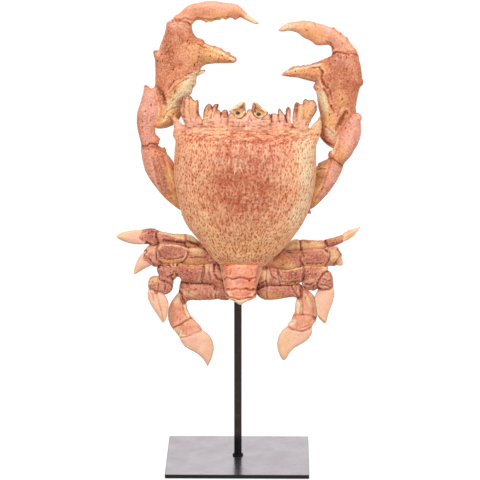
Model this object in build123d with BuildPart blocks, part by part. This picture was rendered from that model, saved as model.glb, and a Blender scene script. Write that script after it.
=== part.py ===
from build123d import *

import os
from dataclasses import dataclass, field
from math import cos, radians, sin

# A cast crab that stands on its tail on a black rod and a square black plate.
# Millimetres and degrees. X runs to the right as one looks at the crab's back, Y runs
# away from the viewer and Z up. The origin is under the rod, on the surface below.

# Fits that every piece shares
running_clearance = 0.05
glue_gap = 0.1
seam_gap = 0.2
cut_overrun = 1.0

# Plate and pads
plate_side = 150.0
plate_thickness = 4.0
plate_corner_radius = 1.5
plate_edge_chamfer = 0.4
pad_diameter = 12.0
pad_height = 1.0
pad_inset = 12.0

# Rod, its foot ring and its screw
rod_diameter = 8.0
rod_end_chamfer = 0.6
ring_diameter = 11.5
ring_height = 1.5
ring_top_fillet = 0.7
screw_diameter = 5.0
screw_head_diameter = 9.6
screw_head_height = 2.5
screw_reach = 14.0
screw_sink = 0.3
drive_diameter = 3.5
drive_depth = 1.6

# Sleeve inside the body, in which the rod turns
sleeve_wall = 2.0
sleeve_length = 75.0
sleeve_cap = 3.0
sleeve_bottom_height = 176.0
sleeve_cover = 2.0

# Body: heights are above the plate and lengths run along the leaning back
body_lean = 2.6
carapace_rear_height = 203.5
carapace_rear_offset = 3.4
carapace_length = 160.0
carapace_width = 148.0
carapace_depth = 36.0
sternum_width = 92.0
sternum_setback = 10.0
sternum_depth = 25.0
sternum_tail = 32.0

# Front edge of the body
lobe_height = 22.5
lobe_thickness = 8.0
lobe_setback = 1.5
rostrum_thickness = 7.0
eye_width = 5.8
eye_length = 6.6
eye_spread = 22.6
eye_stalk_diameter = 3.0
eye_setback = 9.0
eye_rise = 3.6
antenna_thickness = 3.0
mouth_length = 26.0
mouth_width = 13.0
mouth_depth = 12.0
mouth_taper = 8.0

# Tail plates under the rear edge
tail_width = 33.0
tail_length = 37.5
tail_depth = 12.0

# How far apart the legs are, and how far behind the rod's axis each limb leaves the body
leg_pitch = 20.0
leg_one_setback = 9.5
leg_two_setback = -1.0
leg_three_setback = 3.2
leg_four_setback = 3.0
arm_setback = 5.0
root_fullness = 0.9

# Each row of a station table is a place along the segment, as a share of its length,
# and its two edges, as shares of its width. The second edge is the outer or lower one.
station = tuple[float, float, float]
cone_shares = (
    (-0.12, -0.43, 0.43),
    (0.00, -0.50, 0.50),
    (0.35, -0.47, 0.45),
    (0.65, -0.35, 0.32),
    (0.88, -0.17, 0.15),
    (1.00, -0.03, 0.03),
)
blade_shares = (
    (-0.12, -0.42, 0.28),
    (0.00, -0.47, 0.32),
    (0.18, -0.50, 0.43),
    (0.40, -0.43, 0.46),
    (0.62, -0.27, 0.36),
    (0.85, -0.12, 0.18),
    (1.00, -0.02, 0.03),
)
paddle_shares = (
    (-0.12, -0.38, 0.36),
    (0.00, -0.41, 0.41),
    (0.15, -0.42, 0.51),
    (0.32, -0.30, 0.57),
    (0.52, -0.15, 0.54),
    (0.71, -0.04, 0.43),
    (0.88, 0.00, 0.20),
    (1.00, -0.03, 0.02),
)
band_shares = (
    (-0.20, -0.43, 0.43),
    (0.05, -0.47, 0.47),
    (0.30, -0.50, 0.49),
    (0.65, -0.47, 0.47),
    (0.90, -0.49, 0.49),
    (1.20, -0.44, 0.44),
)
oval_shares = (
    (-0.16, -0.33, 0.33),
    (0.06, -0.42, 0.42),
    (0.30, -0.49, 0.49),
    (0.60, -0.50, 0.50),
    (0.90, -0.43, 0.43),
    (1.16, -0.33, 0.33),
)
coxa_shares = (
    (0.00, -0.46, 0.46),
    (0.35, -0.50, 0.50),
    (0.70, -0.47, 0.47),
    (1.16, -0.38, 0.38),
)
shin_shares = (
    (-0.20, -0.22, 0.12),
    (0.02, -0.28, 0.16),
    (0.25, -0.44, 0.24),
    (0.52, -0.52, 0.31),
    (0.80, -0.52, 0.43),
    (1.00, -0.46, 0.50),
    (1.20, -0.42, 0.50),
)
arm_shares = (
    (0.00, -0.30, 0.20),
    (0.16, -0.38, 0.40),
    (0.35, -0.42, 0.52),
    (0.58, -0.42, 0.58),
    (0.77, -0.38, 0.54),
    (0.93, -0.34, 0.44),
    (1.12, -0.30, 0.32),
)
wrist_shares = (
    (-0.12, -0.43, 0.32),
    (0.10, -0.43, 0.46),
    (0.30, -0.37, 0.55),
    (0.50, -0.38, 0.56),
    (0.68, -0.46, 0.48),
    (0.85, -0.43, 0.35),
    (1.00, -0.22, 0.12),
)
left_palm_shares = (
    (-0.03, -0.08, 0.18),
    (0.08, -0.20, 0.26),
    (0.22, -0.28, 0.29),
    (0.38, -0.47, 0.38),
    (0.55, -0.58, 0.41),
    (0.70, -0.61, 0.41),
    (0.82, -0.47, 0.34),
    (0.93, -0.31, 0.27),
    (1.08, -0.23, 0.21),
)
right_palm_shares = (
    (-0.02, -0.05, 0.06),
    (0.12, -0.22, 0.09),
    (0.28, -0.28, 0.25),
    (0.41, -0.32, 0.40),
    (0.55, -0.44, 0.45),
    (0.69, -0.53, 0.47),
    (0.81, -0.43, 0.43),
    (0.93, -0.25, 0.33),
    (1.08, -0.20, 0.27),
)
left_thumb_shares = (
    (-0.10, -0.46, 0.64),
    (0.15, -0.42, 0.67),
    (0.34, -0.29, 0.55),
    (0.60, -0.21, 0.40),
    (0.82, -0.14, 0.25),
    (1.00, -0.03, 0.03),
)
right_thumb_shares = (
    (-0.05, -0.70, 0.42),
    (0.20, -0.62, 0.34),
    (0.40, -0.42, 0.34),
    (0.60, -0.28, 0.34),
    (0.78, -0.20, 0.29),
    (0.92, -0.10, 0.15),
    (1.00, -0.02, 0.03),
)
left_finger_shares = (
    (-0.05, -0.20, 0.12),
    (0.04, -0.22, 0.32),
    (0.13, -0.18, 0.66),
    (0.27, 0.03, 0.90),
    (0.43, 0.08, 1.00),
    (0.60, 0.15, 0.98),
    (0.75, 0.22, 0.87),
    (0.87, 0.17, 0.56),
    (1.00, -0.03, 0.03),
)
right_finger_shares = (
    (-0.17, -0.40, 0.14),
    (-0.06, -0.38, 0.50),
    (0.08, -0.26, 0.82),
    (0.24, -0.04, 0.93),
    (0.40, -0.02, 1.00),
    (0.56, 0.02, 0.94),
    (0.70, 0.10, 0.86),
    (0.85, 0.14, 0.60),
    (1.00, -0.03, 0.04),
)

# Half widths and dome heights of the back and of the underside, along their lengths
carapace_station_shares = (
    (0.000, 0.24, 0.20),
    (0.045, 0.40, 0.36),
    (0.13, 0.57, 0.56),
    (0.25, 0.77, 0.78),
    (0.38, 0.91, 0.92),
    (0.52, 0.975, 0.99),
    (0.67, 1.00, 1.00),
    (0.81, 0.99, 0.90),
    (0.90, 0.93, 0.74),
    (0.96, 0.80, 0.56),
    (1.00, 0.62, 0.42),
)
sternum_station_shares = (
    (0.00, 0.31, 0.60),
    (0.10, 0.40, 0.76),
    (0.25, 0.56, 0.90),
    (0.45, 0.80, 1.00),
    (0.68, 0.98, 1.00),
    (0.88, 0.94, 0.84),
    (1.00, 0.78, 0.60),
)

# Outlines of the front edge, across in shares of half the width of the back and up in
# shares of the lobe height, drawn for the right side
big_lobe_shares = (
    (0.61, -0.62),
    (0.655, 0.25),
    (0.67, 0.86),
    (0.705, 1.00),
    (0.745, 0.88),
    (0.78, 0.94),
    (0.81, 1.04),
    (0.845, 0.92),
    (0.88, 0.90),
    (0.925, 0.94),
    (0.955, 0.70),
    (0.962, 0.35),
    (0.86, -0.62),
)
second_lobe_shares = (
    (0.38, -0.30),
    (0.395, 0.33),
    (0.415, 0.65),
    (0.44, 0.66),
    (0.46, 0.38),
    (0.48, 0.38),
    (0.505, 0.72),
    (0.535, 0.70),
    (0.555, 0.38),
    (0.58, 0.50),
    (0.605, 0.48),
    (0.64, 0.26),
    (0.61, -0.45),
)
small_tooth_shares = (
    (0.262, -0.25),
    (0.268, 0.18),
    (0.285, 0.26),
    (0.305, 0.44),
    (0.34, 0.34),
    (0.37, 0.14),
    (0.405, 0.12),
    (0.41, -0.25),
)
lateral_spine_shares = (
    (0.80, -0.90),
    (0.86, -0.42),
    (0.93, -0.42),
    (1.00, -0.22),
    (1.03, -0.12),
    (1.04, -0.32),
    (1.01, -0.75),
    (0.99, -1.30),
    (0.88, -1.40),
)
rostrum_shares = (
    (-0.105, -0.20),
    (-0.08, 0.14),
    (-0.035, 0.20),
    (0.00, 0.46),
    (0.035, 0.20),
    (0.08, 0.14),
    (0.105, -0.20),
)
antenna_shares = (
    (0.10, -0.10),
    (0.06, 0.50),
    (0.07, 0.86),
    (0.11, 0.82),
    (0.16, 0.62),
    (0.21, 0.46),
    (0.255, 0.30),
    (0.25, -0.10),
)
front_outlines = (big_lobe_shares, second_lobe_shares, small_tooth_shares, lateral_spine_shares)
tail_plate_shares = (0.00, 0.32, 0.64, 0.83, 1.00)
tail_profile_shares = (
    (0.00, 1.00, 0.80),
    (0.30, 0.90, 1.00),
    (0.64, 0.92, 0.92),
    (0.83, 0.68, 0.80),
    (1.00, 0.16, 0.55),
)
pad_corners = ((-1, -1), (-1, 1), (1, -1), (1, 1))
depth_fullness = 0.75
spike_tip_share = 0.2


@dataclass(frozen=True)
class Segment:
    """One limb segment as it leaves the joint before it.

    Headings are seen in the front view, 0 to the right and 90 up. A positive lift
    leans the segment towards the viewer. A branch starts the segment at shares of the
    length and width of the one before it, and a seat sets the way their joint faces.
    """

    name: str
    length: float
    width: float
    depth: float
    heading: float
    lift: float
    shares: tuple[station, ...]
    branch_shares: tuple[float, float] = (1.0, 0.0)
    seat: float | None = None
    seat_shares: tuple[float, float] = (1.0, 0.0)


@dataclass(frozen=True)
class Spike:
    """One conical tooth, by its place on a segment and the side that it points to."""

    along_share: float
    side_share: float
    length: float
    diameter: float
    heading: float


@dataclass(frozen=True)
class Placed:
    """A segment in space: its start, its direction, its outer side and its end."""

    segment: Segment
    start: Vector
    direction: Vector
    side: Vector

    def at(self, along_share: float, side_share: float) -> Vector:
        """Return the point at these shares of the segment's length and width."""
        along = self.direction * (along_share * self.segment.length)
        across = self.side * (side_share * self.segment.width)
        return self.start + along + across

    def seat_normal(self, nearer: "Placed") -> Vector:
        """Return the way in which the joint with the segment before it faces."""
        if self.segment.seat is None:
            return (nearer.direction + self.direction).normalized()
        angle = radians(self.segment.seat)
        return Vector(cos(angle), 0, sin(angle))

    def seat_point(self, nearer: "Placed") -> Vector:
        """Return a point of the joint with the segment before it."""
        return nearer.at(*self.segment.seat_shares)


# Limbs, each from the joint at its root to its tip
left_leg_one = (
    Segment("merus", 22.5, 13.5, 11.0, 158, 0, band_shares),
    Segment("carpus", 30.5, 13.5, 11.0, 171, 2, band_shares),
    Segment("propodus", 17.5, 16.5, 12.0, 177, 6, oval_shares),
    Segment("dactyl", 27.0, 15.5, 9.5, 178, 10, cone_shares),
)
left_leg_two = (
    Segment("merus", 23.5, 14.5, 13.0, 172, 0, band_shares),
    Segment("carpus", 30.5, 18.0, 14.0, 176, 2, oval_shares),
    Segment("propodus", 12.5, 19.0, 14.0, 212, 4, oval_shares),
    Segment("dactyl", 20.5, 15.5, 8.5, 227, 10, cone_shares),
)
left_leg_three = (
    Segment("merus", 26.5, 19.0, 15.0, 178, 8, band_shares),
    Segment("carpus", 18.5, 23.2, 15.0, 210, 10, oval_shares),
    Segment("propodus", 15.5, 23.0, 13.0, 246, 6, oval_shares),
    Segment("dactyl", 32.5, 22.0, 8.0, 284, 2, blade_shares),
)
left_leg_four = (
    Segment("merus", 35.5, 21.0, 13.0, 178, -4, band_shares),
    Segment("carpus", 33.5, 23.0, 12.0, 267, -4, shin_shares),
    Segment("propodus", 17.5, 25.0, 12.0, 307, 4, oval_shares),
    Segment("dactyl", 39.0, 29.5, 7.5, 297, 8, paddle_shares),
)
right_leg_one = (
    Segment("merus", 19.0, 11.0, 11.0, 3, 0, band_shares),
    Segment("carpus", 27.0, 11.0, 9.0, 1, 2, band_shares),
    Segment("propodus", 19.0, 9.5, 9.0, 20, 0, oval_shares),
    Segment("dactyl", 20.5, 7.5, 6.5, 37, 8, cone_shares),
)
right_leg_two = (
    Segment("merus", 28.5, 17.5, 13.0, 5, 0, band_shares),
    Segment("carpus", 29.5, 18.0, 13.0, 0, 2, oval_shares),
    Segment("propodus", 8.5, 19.0, 13.0, 356, 4, oval_shares),
    Segment("dactyl", 11.0, 12.5, 8.0, 303, 10, cone_shares),
)
right_leg_three = (
    Segment("merus", 24.5, 18.0, 14.0, 0, 8, band_shares),
    Segment("carpus", 21.5, 20.8, 14.0, 355, 10, oval_shares),
    Segment("propodus", 13.5, 19.5, 12.0, 280, 6, oval_shares),
    Segment("dactyl", 34.5, 22.5, 8.0, 270, 2, blade_shares),
)
right_leg_four = (
    Segment("merus", 41.0, 16.2, 13.0, 1, -2, band_shares),
    Segment("carpus", 29.5, 25.5, 12.0, 290, -4, shin_shares),
    Segment("propodus", 16.5, 25.0, 12.0, 248, 4, oval_shares),
    Segment("dactyl", 35.0, 30.0, 7.5, 244, 8, paddle_shares),
)
left_claw = (
    Segment("arm", 73.0, 31.0, 20.0, 121, 2, arm_shares),
    Segment("wrist", 63.0, 23.0, 19.0, 91, 0, wrist_shares, seat=86),
    Segment("palm", 112.0, 48.0, 25.0, 84, -1, left_palm_shares, (0.31, -0.82), 2, (0.66, -0.34)),
    Segment("finger", 90.0, 22.0, 14.0, -3, 4, left_finger_shares, (1.0, 0.10), 77, (1.0, 0.0)),
)
right_claw = (
    Segment("arm", 55.0, 26.5, 20.0, 58, 2, arm_shares),
    Segment("wrist", 55.0, 26.0, 19.0, 71, 0, wrist_shares),
    Segment("palm", 100.0, 52.0, 25.0, 82, -1, right_palm_shares, (0.23, -0.50), 152, (0.62, -0.20)),
    Segment("finger", 73.5, 22.0, 14.0, 162, 4, right_finger_shares, (1.0, 0.0), 80, (1.0, 0.0)),
)
left_thumb = Segment("thumb", 44.0, 25.0, 13.0, -7, 2, left_thumb_shares, (0.70, -0.42))
right_thumb = Segment("thumb", 46.0, 21.0, 13.0, 189, 2, right_thumb_shares, (0.81, -0.32))

# Teeth and spines, on the segment that their name gives
left_spikes = {
    "wrist": (Spike(0.97, 0.02, 8.0, 6.0, 104), Spike(0.13, -0.36, 5.0, 4.0, 20)),
    "palm": (
        Spike(0.715, 0.36, 7.5, 5.0, 184),
        Spike(0.545, -0.49, 6.0, 4.0, 2),
        Spike(0.36, -0.37, 5.0, 4.0, -25),
    ),
    "finger": (
        Spike(0.20, 0.05, 4.0, 4.5, 250),
        Spike(0.375, 0.17, 4.0, 5.0, 270),
        Spike(0.47, 0.20, 4.0, 4.5, 270),
        Spike(0.57, 0.24, 4.5, 4.5, 270),
        Spike(0.71, 0.32, 4.5, 4.0, 270),
    ),
    "thumb": (
        Spike(0.34, 0.44, 4.0, 4.5, 75),
        Spike(0.48, 0.36, 3.8, 4.0, 72),
        Spike(0.62, 0.27, 3.6, 3.6, 70),
        Spike(0.76, 0.20, 3.2, 3.2, 66),
        Spike(0.88, 0.12, 2.8, 2.6, 60),
    ),
}
right_spikes = {
    "wrist": (Spike(0.95, 0.30, 4.5, 5.0, 60), Spike(0.12, -0.36, 6.0, 4.0, 190)),
    "palm": (
        Spike(0.66, 0.39, 4.5, 5.0, -8),
        Spike(0.48, -0.34, 4.0, 4.0, 178),
        Spike(0.60, -0.42, 3.5, 4.0, 184),
    ),
    "finger": (
        Spike(0.22, 0.08, 3.5, 4.5, 262),
        Spike(0.34, 0.08, 3.5, 4.5, 258),
        Spike(0.47, 0.12, 3.5, 4.2, 252),
        Spike(0.60, 0.16, 3.2, 3.8, 246),
        Spike(0.05, 0.66, 4.0, 4.0, 62),
        Spike(0.20, 0.80, 3.6, 3.6, 74),
    ),
    "thumb": (
        Spike(0.30, 0.22, 4.0, 4.4, 104),
        Spike(0.46, 0.22, 4.0, 4.0, 106),
        Spike(0.60, 0.22, 3.8, 3.6, 108),
        Spike(0.74, 0.18, 3.4, 3.2, 110),
        Spike(0.86, 0.10, 2.8, 2.6, 114),
    ),
}


@dataclass(frozen=True)
class Limb:
    """One limb: its segments, and where it leaves the body.

    The root's place is across and along the body, in shares of half its width and of
    the span, which is a length that starts at the rear of the back. Outer is 1 on the
    left of the body and -1 on the right.
    """

    name: str
    outer: int
    chain: tuple[Segment, ...]
    root_shares: tuple[float, float]
    span: float
    setback: float
    thumb: Segment | None = None
    spikes: dict[str, tuple[Spike, ...]] = field(default_factory=dict)


limbs = (
    Limb("left_leg_1", 1, left_leg_one, (0.504, 0.768), leg_pitch, leg_one_setback),
    Limb("left_leg_2", 1, left_leg_two, (0.47, 0.432), leg_pitch, leg_two_setback),
    Limb("left_leg_3", 1, left_leg_three, (0.545, -0.328), leg_pitch, leg_three_setback),
    Limb("left_leg_4", 1, left_leg_four, (0.346, -1.344), leg_pitch, leg_four_setback),
    Limb(
        "left_claw", 1, left_claw, (0.812, 0.393), carapace_length, arm_setback,
        left_thumb, left_spikes,
    ),
    Limb("right_leg_1", -1, right_leg_one, (0.55, 1.2), leg_pitch, leg_one_setback),
    Limb("right_leg_2", -1, right_leg_two, (0.449, 0.464), leg_pitch, leg_two_setback),
    Limb("right_leg_3", -1, right_leg_three, (0.547, -0.392), leg_pitch, leg_three_setback),
    Limb("right_leg_4", -1, right_leg_four, (0.233, -1.28), leg_pitch, leg_four_setback),
    Limb(
        "right_claw", -1, right_claw, (0.887, 0.434), carapace_length, arm_setback,
        right_thumb, right_spikes,
    ),
)

# Sizes that follow from the ones above
stand_top = pad_height + plate_thickness
bore_radius = rod_diameter / 2 + running_clearance
sleeve_radius = bore_radius + sleeve_wall
parting_y = -(sleeve_radius + sleeve_cover)
lean = radians(body_lean)
body_up = Vector(sin(lean), 0, cos(lean))
body_right = Vector(cos(lean), 0, -sin(lean))
viewer = Vector(0, -1, 0)
body_origin = Vector(carapace_rear_offset, parting_y, stand_top + carapace_rear_height)
half_body = carapace_width / 2
sternum_length = carapace_length - sternum_setback + sternum_tail
sleeve_bottom = stand_top + sleeve_bottom_height
sleeve_top = sleeve_bottom + sleeve_length


def body_point(across: float, along: float, towards_viewer: float) -> Vector:
    """Return the point at these distances from the rear end of the back's flat side."""
    return body_origin + body_right * across + body_up * along + viewer * towards_viewer


def front_plane(towards_viewer: float) -> Plane:
    """Return the plane of the front edge's outlines, with its Z towards the viewer."""
    return Plane(
        origin=body_point(0, carapace_length, towards_viewer),
        x_dir=body_right,
        z_dir=viewer,
    )


def hand_over(part: Part, name: str) -> Part:
    """Label a finished piece, write its STEP file and return it."""
    part.label = name
    export_step(part, f"parts/{name}.step")
    return part


def dome_section(plane: Plane, half_width: float, height: float) -> Sketch:
    """Return half an ellipse with its flat side on the plane's X axis and its dome at +Y."""
    with BuildSketch(plane) as section:
        with BuildLine():
            EllipticalCenterArc((0, 0), half_width, height, start_angle=0, arc_size=180)
            Line((-half_width, 0), (half_width, 0))
        make_face()
    return section.sketch


def place(segment: Segment, start: Vector, outer: int) -> Placed:
    """Place a segment; outer is 1 where its outer side is left of its heading, else -1."""
    heading = radians(segment.heading)
    lift = radians(segment.lift)
    direction = Vector(cos(heading) * cos(lift), -sin(lift), sin(heading) * cos(lift))
    side = Vector(-sin(heading), 0, cos(heading)) * outer
    return Placed(segment, start, direction, side)


def place_chain(chain: tuple[Segment, ...], root: Placed, outer: int) -> list[Placed]:
    """Place a limb's segments one after another and return them, the root first."""
    placed = [root]
    for segment in chain:
        start = placed[-1].at(*segment.branch_shares)
        placed.append(place(segment, start, outer))
    return placed


def oval_sections(placed: Placed) -> list[Sketch]:
    """Return the oval sections of a segment, one at each of its stations."""
    segment = placed.segment
    widest = max(high - low for _, low, high in segment.shares)
    sections = []
    for along_share, low, high in segment.shares:
        half_width = (high - low) / 2 * segment.width
        fullness = ((high - low) / widest) ** depth_fullness
        plane = Plane(
            origin=placed.at(along_share, (low + high) / 2),
            x_dir=placed.side,
            z_dir=placed.direction,
        )
        with BuildSketch(plane) as section:
            Ellipse(half_width, segment.depth / 2 * fullness)
        sections.append(section.sketch)
    return sections


def add_spikes(placed: Placed, spikes: tuple[Spike, ...]) -> None:
    """Add conical teeth to the open part."""
    for spike in spikes:
        heading = radians(spike.heading)
        base = Plane(
            origin=placed.at(spike.along_share, spike.side_share),
            x_dir=viewer,
            z_dir=Vector(cos(heading), 0, sin(heading)),
        )
        with Locations(base.location):
            Cone(
                spike.diameter / 2,
                spike.diameter / 2 * spike_tip_share,
                spike.length,
                align=(Align.CENTER, Align.CENTER, Align.MIN),
            )


def build_limb(limb: Limb, root: Placed) -> None:
    """Build and write each segment of a limb, cut along its joints."""
    placed = place_chain(limb.chain, root, limb.outer)
    for index in range(1, len(placed)):
        nearer, here = placed[index - 1], placed[index]
        name = here.segment.name
        normal = here.seat_normal(nearer)
        near_cut = Plane(origin=here.seat_point(nearer) + normal * (seam_gap / 2), z_dir=normal)
        with BuildPart() as piece:
            loft(oval_sections(here))
            split(bisect_by=near_cut, keep=Keep.TOP)
            if index + 1 < len(placed):
                farther = placed[index + 1]
                far_normal = farther.seat_normal(here)
                far_point = farther.seat_point(here) - far_normal * (seam_gap / 2)
                split(bisect_by=Plane(origin=far_point, z_dir=far_normal), keep=Keep.BOTTOM)
            if limb.thumb and name == "palm":
                thumb = place(limb.thumb, here.at(*limb.thumb.branch_shares), limb.outer)
                loft(oval_sections(thumb))
                add_spikes(thumb, limb.spikes["thumb"])
            add_spikes(here, limb.spikes.get(name, ()))
        hand_over(piece.part, f"{limb.name}_{name}")


def limb_root(limb: Limb) -> Placed:
    """Return the short hidden segment that joins a limb to the underside."""
    across_share, along_share = limb.root_shares
    outer = limb.outer
    reach = across_share * half_body
    inner_end = sleeve_radius + sleeve_cover + carapace_rear_offset
    height = along_share * limb.span
    start = body_point(-outer * inner_end, height, parting_y - limb.setback)
    first = limb.chain[0]
    coxa = Segment(
        name="coxa",
        length=reach - inner_end,
        width=first.width * root_fullness,
        depth=first.depth * root_fullness,
        heading=90 + outer * 90 - body_lean,
        lift=0,
        shares=coxa_shares,
    )
    return place(coxa, start, outer)


os.makedirs("parts", exist_ok=True)

# Stand
with BuildPart() as base_plate:
    with BuildSketch(Plane.XY.offset(pad_height)):
        RectangleRounded(plate_side, plate_side, plate_corner_radius)
    extrude(amount=plate_thickness)
    chamfer(base_plate.edges().group_by(Axis.Z)[-1], length=plate_edge_chamfer)
    with Locations(Plane.XY.offset(pad_height).location):
        Cylinder(
            screw_diameter / 2 + glue_gap,
            plate_thickness + cut_overrun,
            align=(Align.CENTER, Align.CENTER, Align.MIN),
            mode=Mode.SUBTRACT,
        )
    with BuildSketch(Plane.XY.offset(pad_height)):
        Circle(screw_head_diameter / 2 + glue_gap + screw_sink)
    extrude(amount=screw_sink, mode=Mode.SUBTRACT)
    with BuildSketch(Plane.XY.offset(pad_height + screw_sink)):
        Circle(screw_head_diameter / 2 + glue_gap)
    with BuildSketch(Plane.XY.offset(pad_height + screw_sink + screw_head_height)):
        Circle(screw_diameter / 2 + glue_gap)
    loft(mode=Mode.SUBTRACT)
hand_over(base_plate.part, "base_plate")

with BuildPart() as floor_pads:
    pad_offset = plate_side / 2 - pad_inset
    with BuildSketch():
        with Locations([(sx * pad_offset, sy * pad_offset) for sx, sy in pad_corners]):
            Circle(pad_diameter / 2)
    extrude(amount=pad_height)
hand_over(floor_pads.part, "floor_pads")

rod_length = sleeve_top - sleeve_cap - seam_gap - stand_top
with BuildPart() as support_rod:
    with BuildSketch(Plane.XY.offset(stand_top)):
        Circle(rod_diameter / 2)
    extrude(amount=rod_length)
    chamfer(support_rod.edges().group_by(Axis.Z)[-1], length=rod_end_chamfer)
    with BuildSketch(Plane.XY.offset(stand_top)):
        Circle(screw_diameter / 2 + glue_gap)
    extrude(amount=screw_reach, mode=Mode.SUBTRACT)
hand_over(support_rod.part, "support_rod")

with BuildPart() as rod_foot_ring:
    with BuildSketch(Plane.XY.offset(stand_top)):
        Circle(ring_diameter / 2)
        Circle(rod_diameter / 2 + glue_gap, mode=Mode.SUBTRACT)
    extrude(amount=ring_height)
    top_edges = rod_foot_ring.edges().group_by(Axis.Z)[-1]
    fillet(top_edges.sort_by(SortBy.RADIUS)[-1], radius=ring_top_fillet)
hand_over(rod_foot_ring.part, "rod_foot_ring")

with BuildPart() as base_screw:
    head_bottom = pad_height + screw_sink
    with BuildSketch(Plane.XY.offset(head_bottom)):
        Circle(screw_head_diameter / 2)
    with BuildSketch(Plane.XY.offset(head_bottom + screw_head_height)):
        Circle(screw_diameter / 2)
    loft()
    with BuildSketch(Plane.XY.offset(head_bottom + screw_head_height)):
        Circle(screw_diameter / 2)
    extrude(amount=stand_top + screw_reach - seam_gap - head_bottom - screw_head_height)
    with BuildSketch(Plane.XY.offset(head_bottom)):
        RegularPolygon(drive_diameter / 2, side_count=6)
    extrude(amount=drive_depth, mode=Mode.SUBTRACT)
hand_over(base_screw.part, "base_screw")

with BuildPart() as rod_sleeve:
    with BuildSketch(Plane.XY.offset(sleeve_bottom)):
        Circle(sleeve_radius)
    extrude(amount=sleeve_length)
    with BuildSketch(Plane.XY.offset(sleeve_bottom)):
        Circle(bore_radius)
    extrude(amount=sleeve_length - sleeve_cap, mode=Mode.SUBTRACT)
hand_over(rod_sleeve.part, "rod_sleeve")

# Back of the crab, with its toothed front edge
with BuildPart() as carapace:
    sections = []
    for along_share, width_share, depth_share in carapace_station_shares:
        plane = Plane(
            origin=body_point(0, along_share * carapace_length, seam_gap / 2),
            x_dir=-body_right,
            z_dir=body_up,
        )
        sections.append(dome_section(plane, width_share * half_body, depth_share * carapace_depth))
    loft(sections)
    for side in (-1, 1):
        for outline_shares in front_outlines:
            with BuildSketch(front_plane(lobe_setback)):
                with BuildLine():
                    Polyline(
                        [(side * x * half_body, y * lobe_height) for x, y in outline_shares],
                        close=True,
                    )
                make_face()
            extrude(amount=lobe_thickness)
    with BuildSketch(front_plane(lobe_setback + antenna_thickness + seam_gap)):
        with BuildLine():
            Polyline([(x * half_body, y * lobe_height) for x, y in rostrum_shares], close=True)
        make_face()
    extrude(amount=rostrum_thickness)
hand_over(carapace.part, "carapace")

# Underside of the body, bored for the sleeve
with BuildPart() as sternum:
    sections = []
    for along_share, width_share, depth_share in sternum_station_shares:
        plane = Plane(
            origin=body_point(0, along_share * sternum_length - sternum_tail, -seam_gap / 2),
            x_dir=body_right,
            z_dir=body_up,
        )
        half_width = width_share * sternum_width / 2
        sections.append(dome_section(plane, half_width, depth_share * sternum_depth))
    loft(sections)
    with BuildSketch(Plane.XY.offset(stand_top)):
        Circle(sleeve_radius + glue_gap)
    extrude(amount=sleeve_top + glue_gap - stand_top, mode=Mode.SUBTRACT)
hand_over(sternum.part, "sternum")

# Tail plates, one behind another below the rear edge
for number in range(1, len(tail_plate_shares)):
    with BuildPart() as tail_plate:
        sections = []
        for along_share, width_share, depth_share in tail_profile_shares:
            plane = Plane(
                origin=body_point(0, -along_share * tail_length, seam_gap / 2),
                x_dir=-body_right,
                z_dir=body_up,
            )
            half_width = width_share * tail_width / 2
            sections.append(dome_section(plane, half_width, depth_share * tail_depth))
        loft(sections)
        upper = body_point(0, -tail_plate_shares[number - 1] * tail_length - seam_gap / 2, 0)
        lower = body_point(0, -tail_plate_shares[number] * tail_length + seam_gap / 2, 0)
        split(bisect_by=Plane(origin=upper, z_dir=body_up), keep=Keep.BOTTOM)
        split(bisect_by=Plane(origin=lower, z_dir=body_up), keep=Keep.TOP)
    hand_over(tail_plate.part, f"tail_plate_{number}")

# Eyes, antenna plates and mouth plates at the front edge
for side, name in ((-1, "left"), (1, "right")):
    eye_plane = Plane(
        origin=body_point(side * eye_spread / 2, carapace_length + seam_gap, eye_setback),
        x_dir=body_right,
        z_dir=body_up,
    )
    with BuildPart() as eye:
        with BuildSketch(eye_plane):
            Circle(eye_stalk_diameter / 2)
        extrude(amount=eye_rise)
        with BuildSketch(Plane(origin=eye_plane.origin, x_dir=body_right, z_dir=viewer)):
            with Locations((0, eye_rise)):
                Ellipse(eye_width / 2, eye_length / 2)
            with Locations((-eye_width, eye_rise)):
                Rectangle(eye_width * 2, eye_length * 2, mode=Mode.SUBTRACT)
        revolve(axis=Axis(eye_plane.origin, body_up), revolution_arc=360)
        split(bisect_by=eye_plane, keep=Keep.TOP)
    hand_over(eye.part, f"{name}_eye")

with BuildPart() as antenna_plates:
    antenna_plane = front_plane(lobe_setback)
    for side in (-1, 1):
        with BuildSketch(antenna_plane):
            with BuildLine():
                Polyline(
                    [(side * x * half_body, y * lobe_height) for x, y in antenna_shares],
                    close=True,
                )
            make_face()
        extrude(amount=antenna_thickness)
    front_end = body_point(0, carapace_length + seam_gap, 0)
    split(bisect_by=Plane(origin=front_end, z_dir=body_up), keep=Keep.TOP)
hand_over(antenna_plates.part, "antenna_plates")

with BuildPart() as mouth_plates:
    mouth_bottom = sternum_length - sternum_tail + seam_gap
    for side in (-1, 1):
        with BuildSketch(
            Plane(
                origin=body_point(0, mouth_bottom, -mouth_depth / 2 - seam_gap),
                x_dir=body_right,
                z_dir=body_up,
            )
        ):
            with Locations((side * (mouth_width + seam_gap) / 2, 0)):
                Ellipse(mouth_width / 2, mouth_depth / 2)
        extrude(amount=mouth_length, taper=mouth_taper)
hand_over(mouth_plates.part, "mouth_plates")

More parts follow.
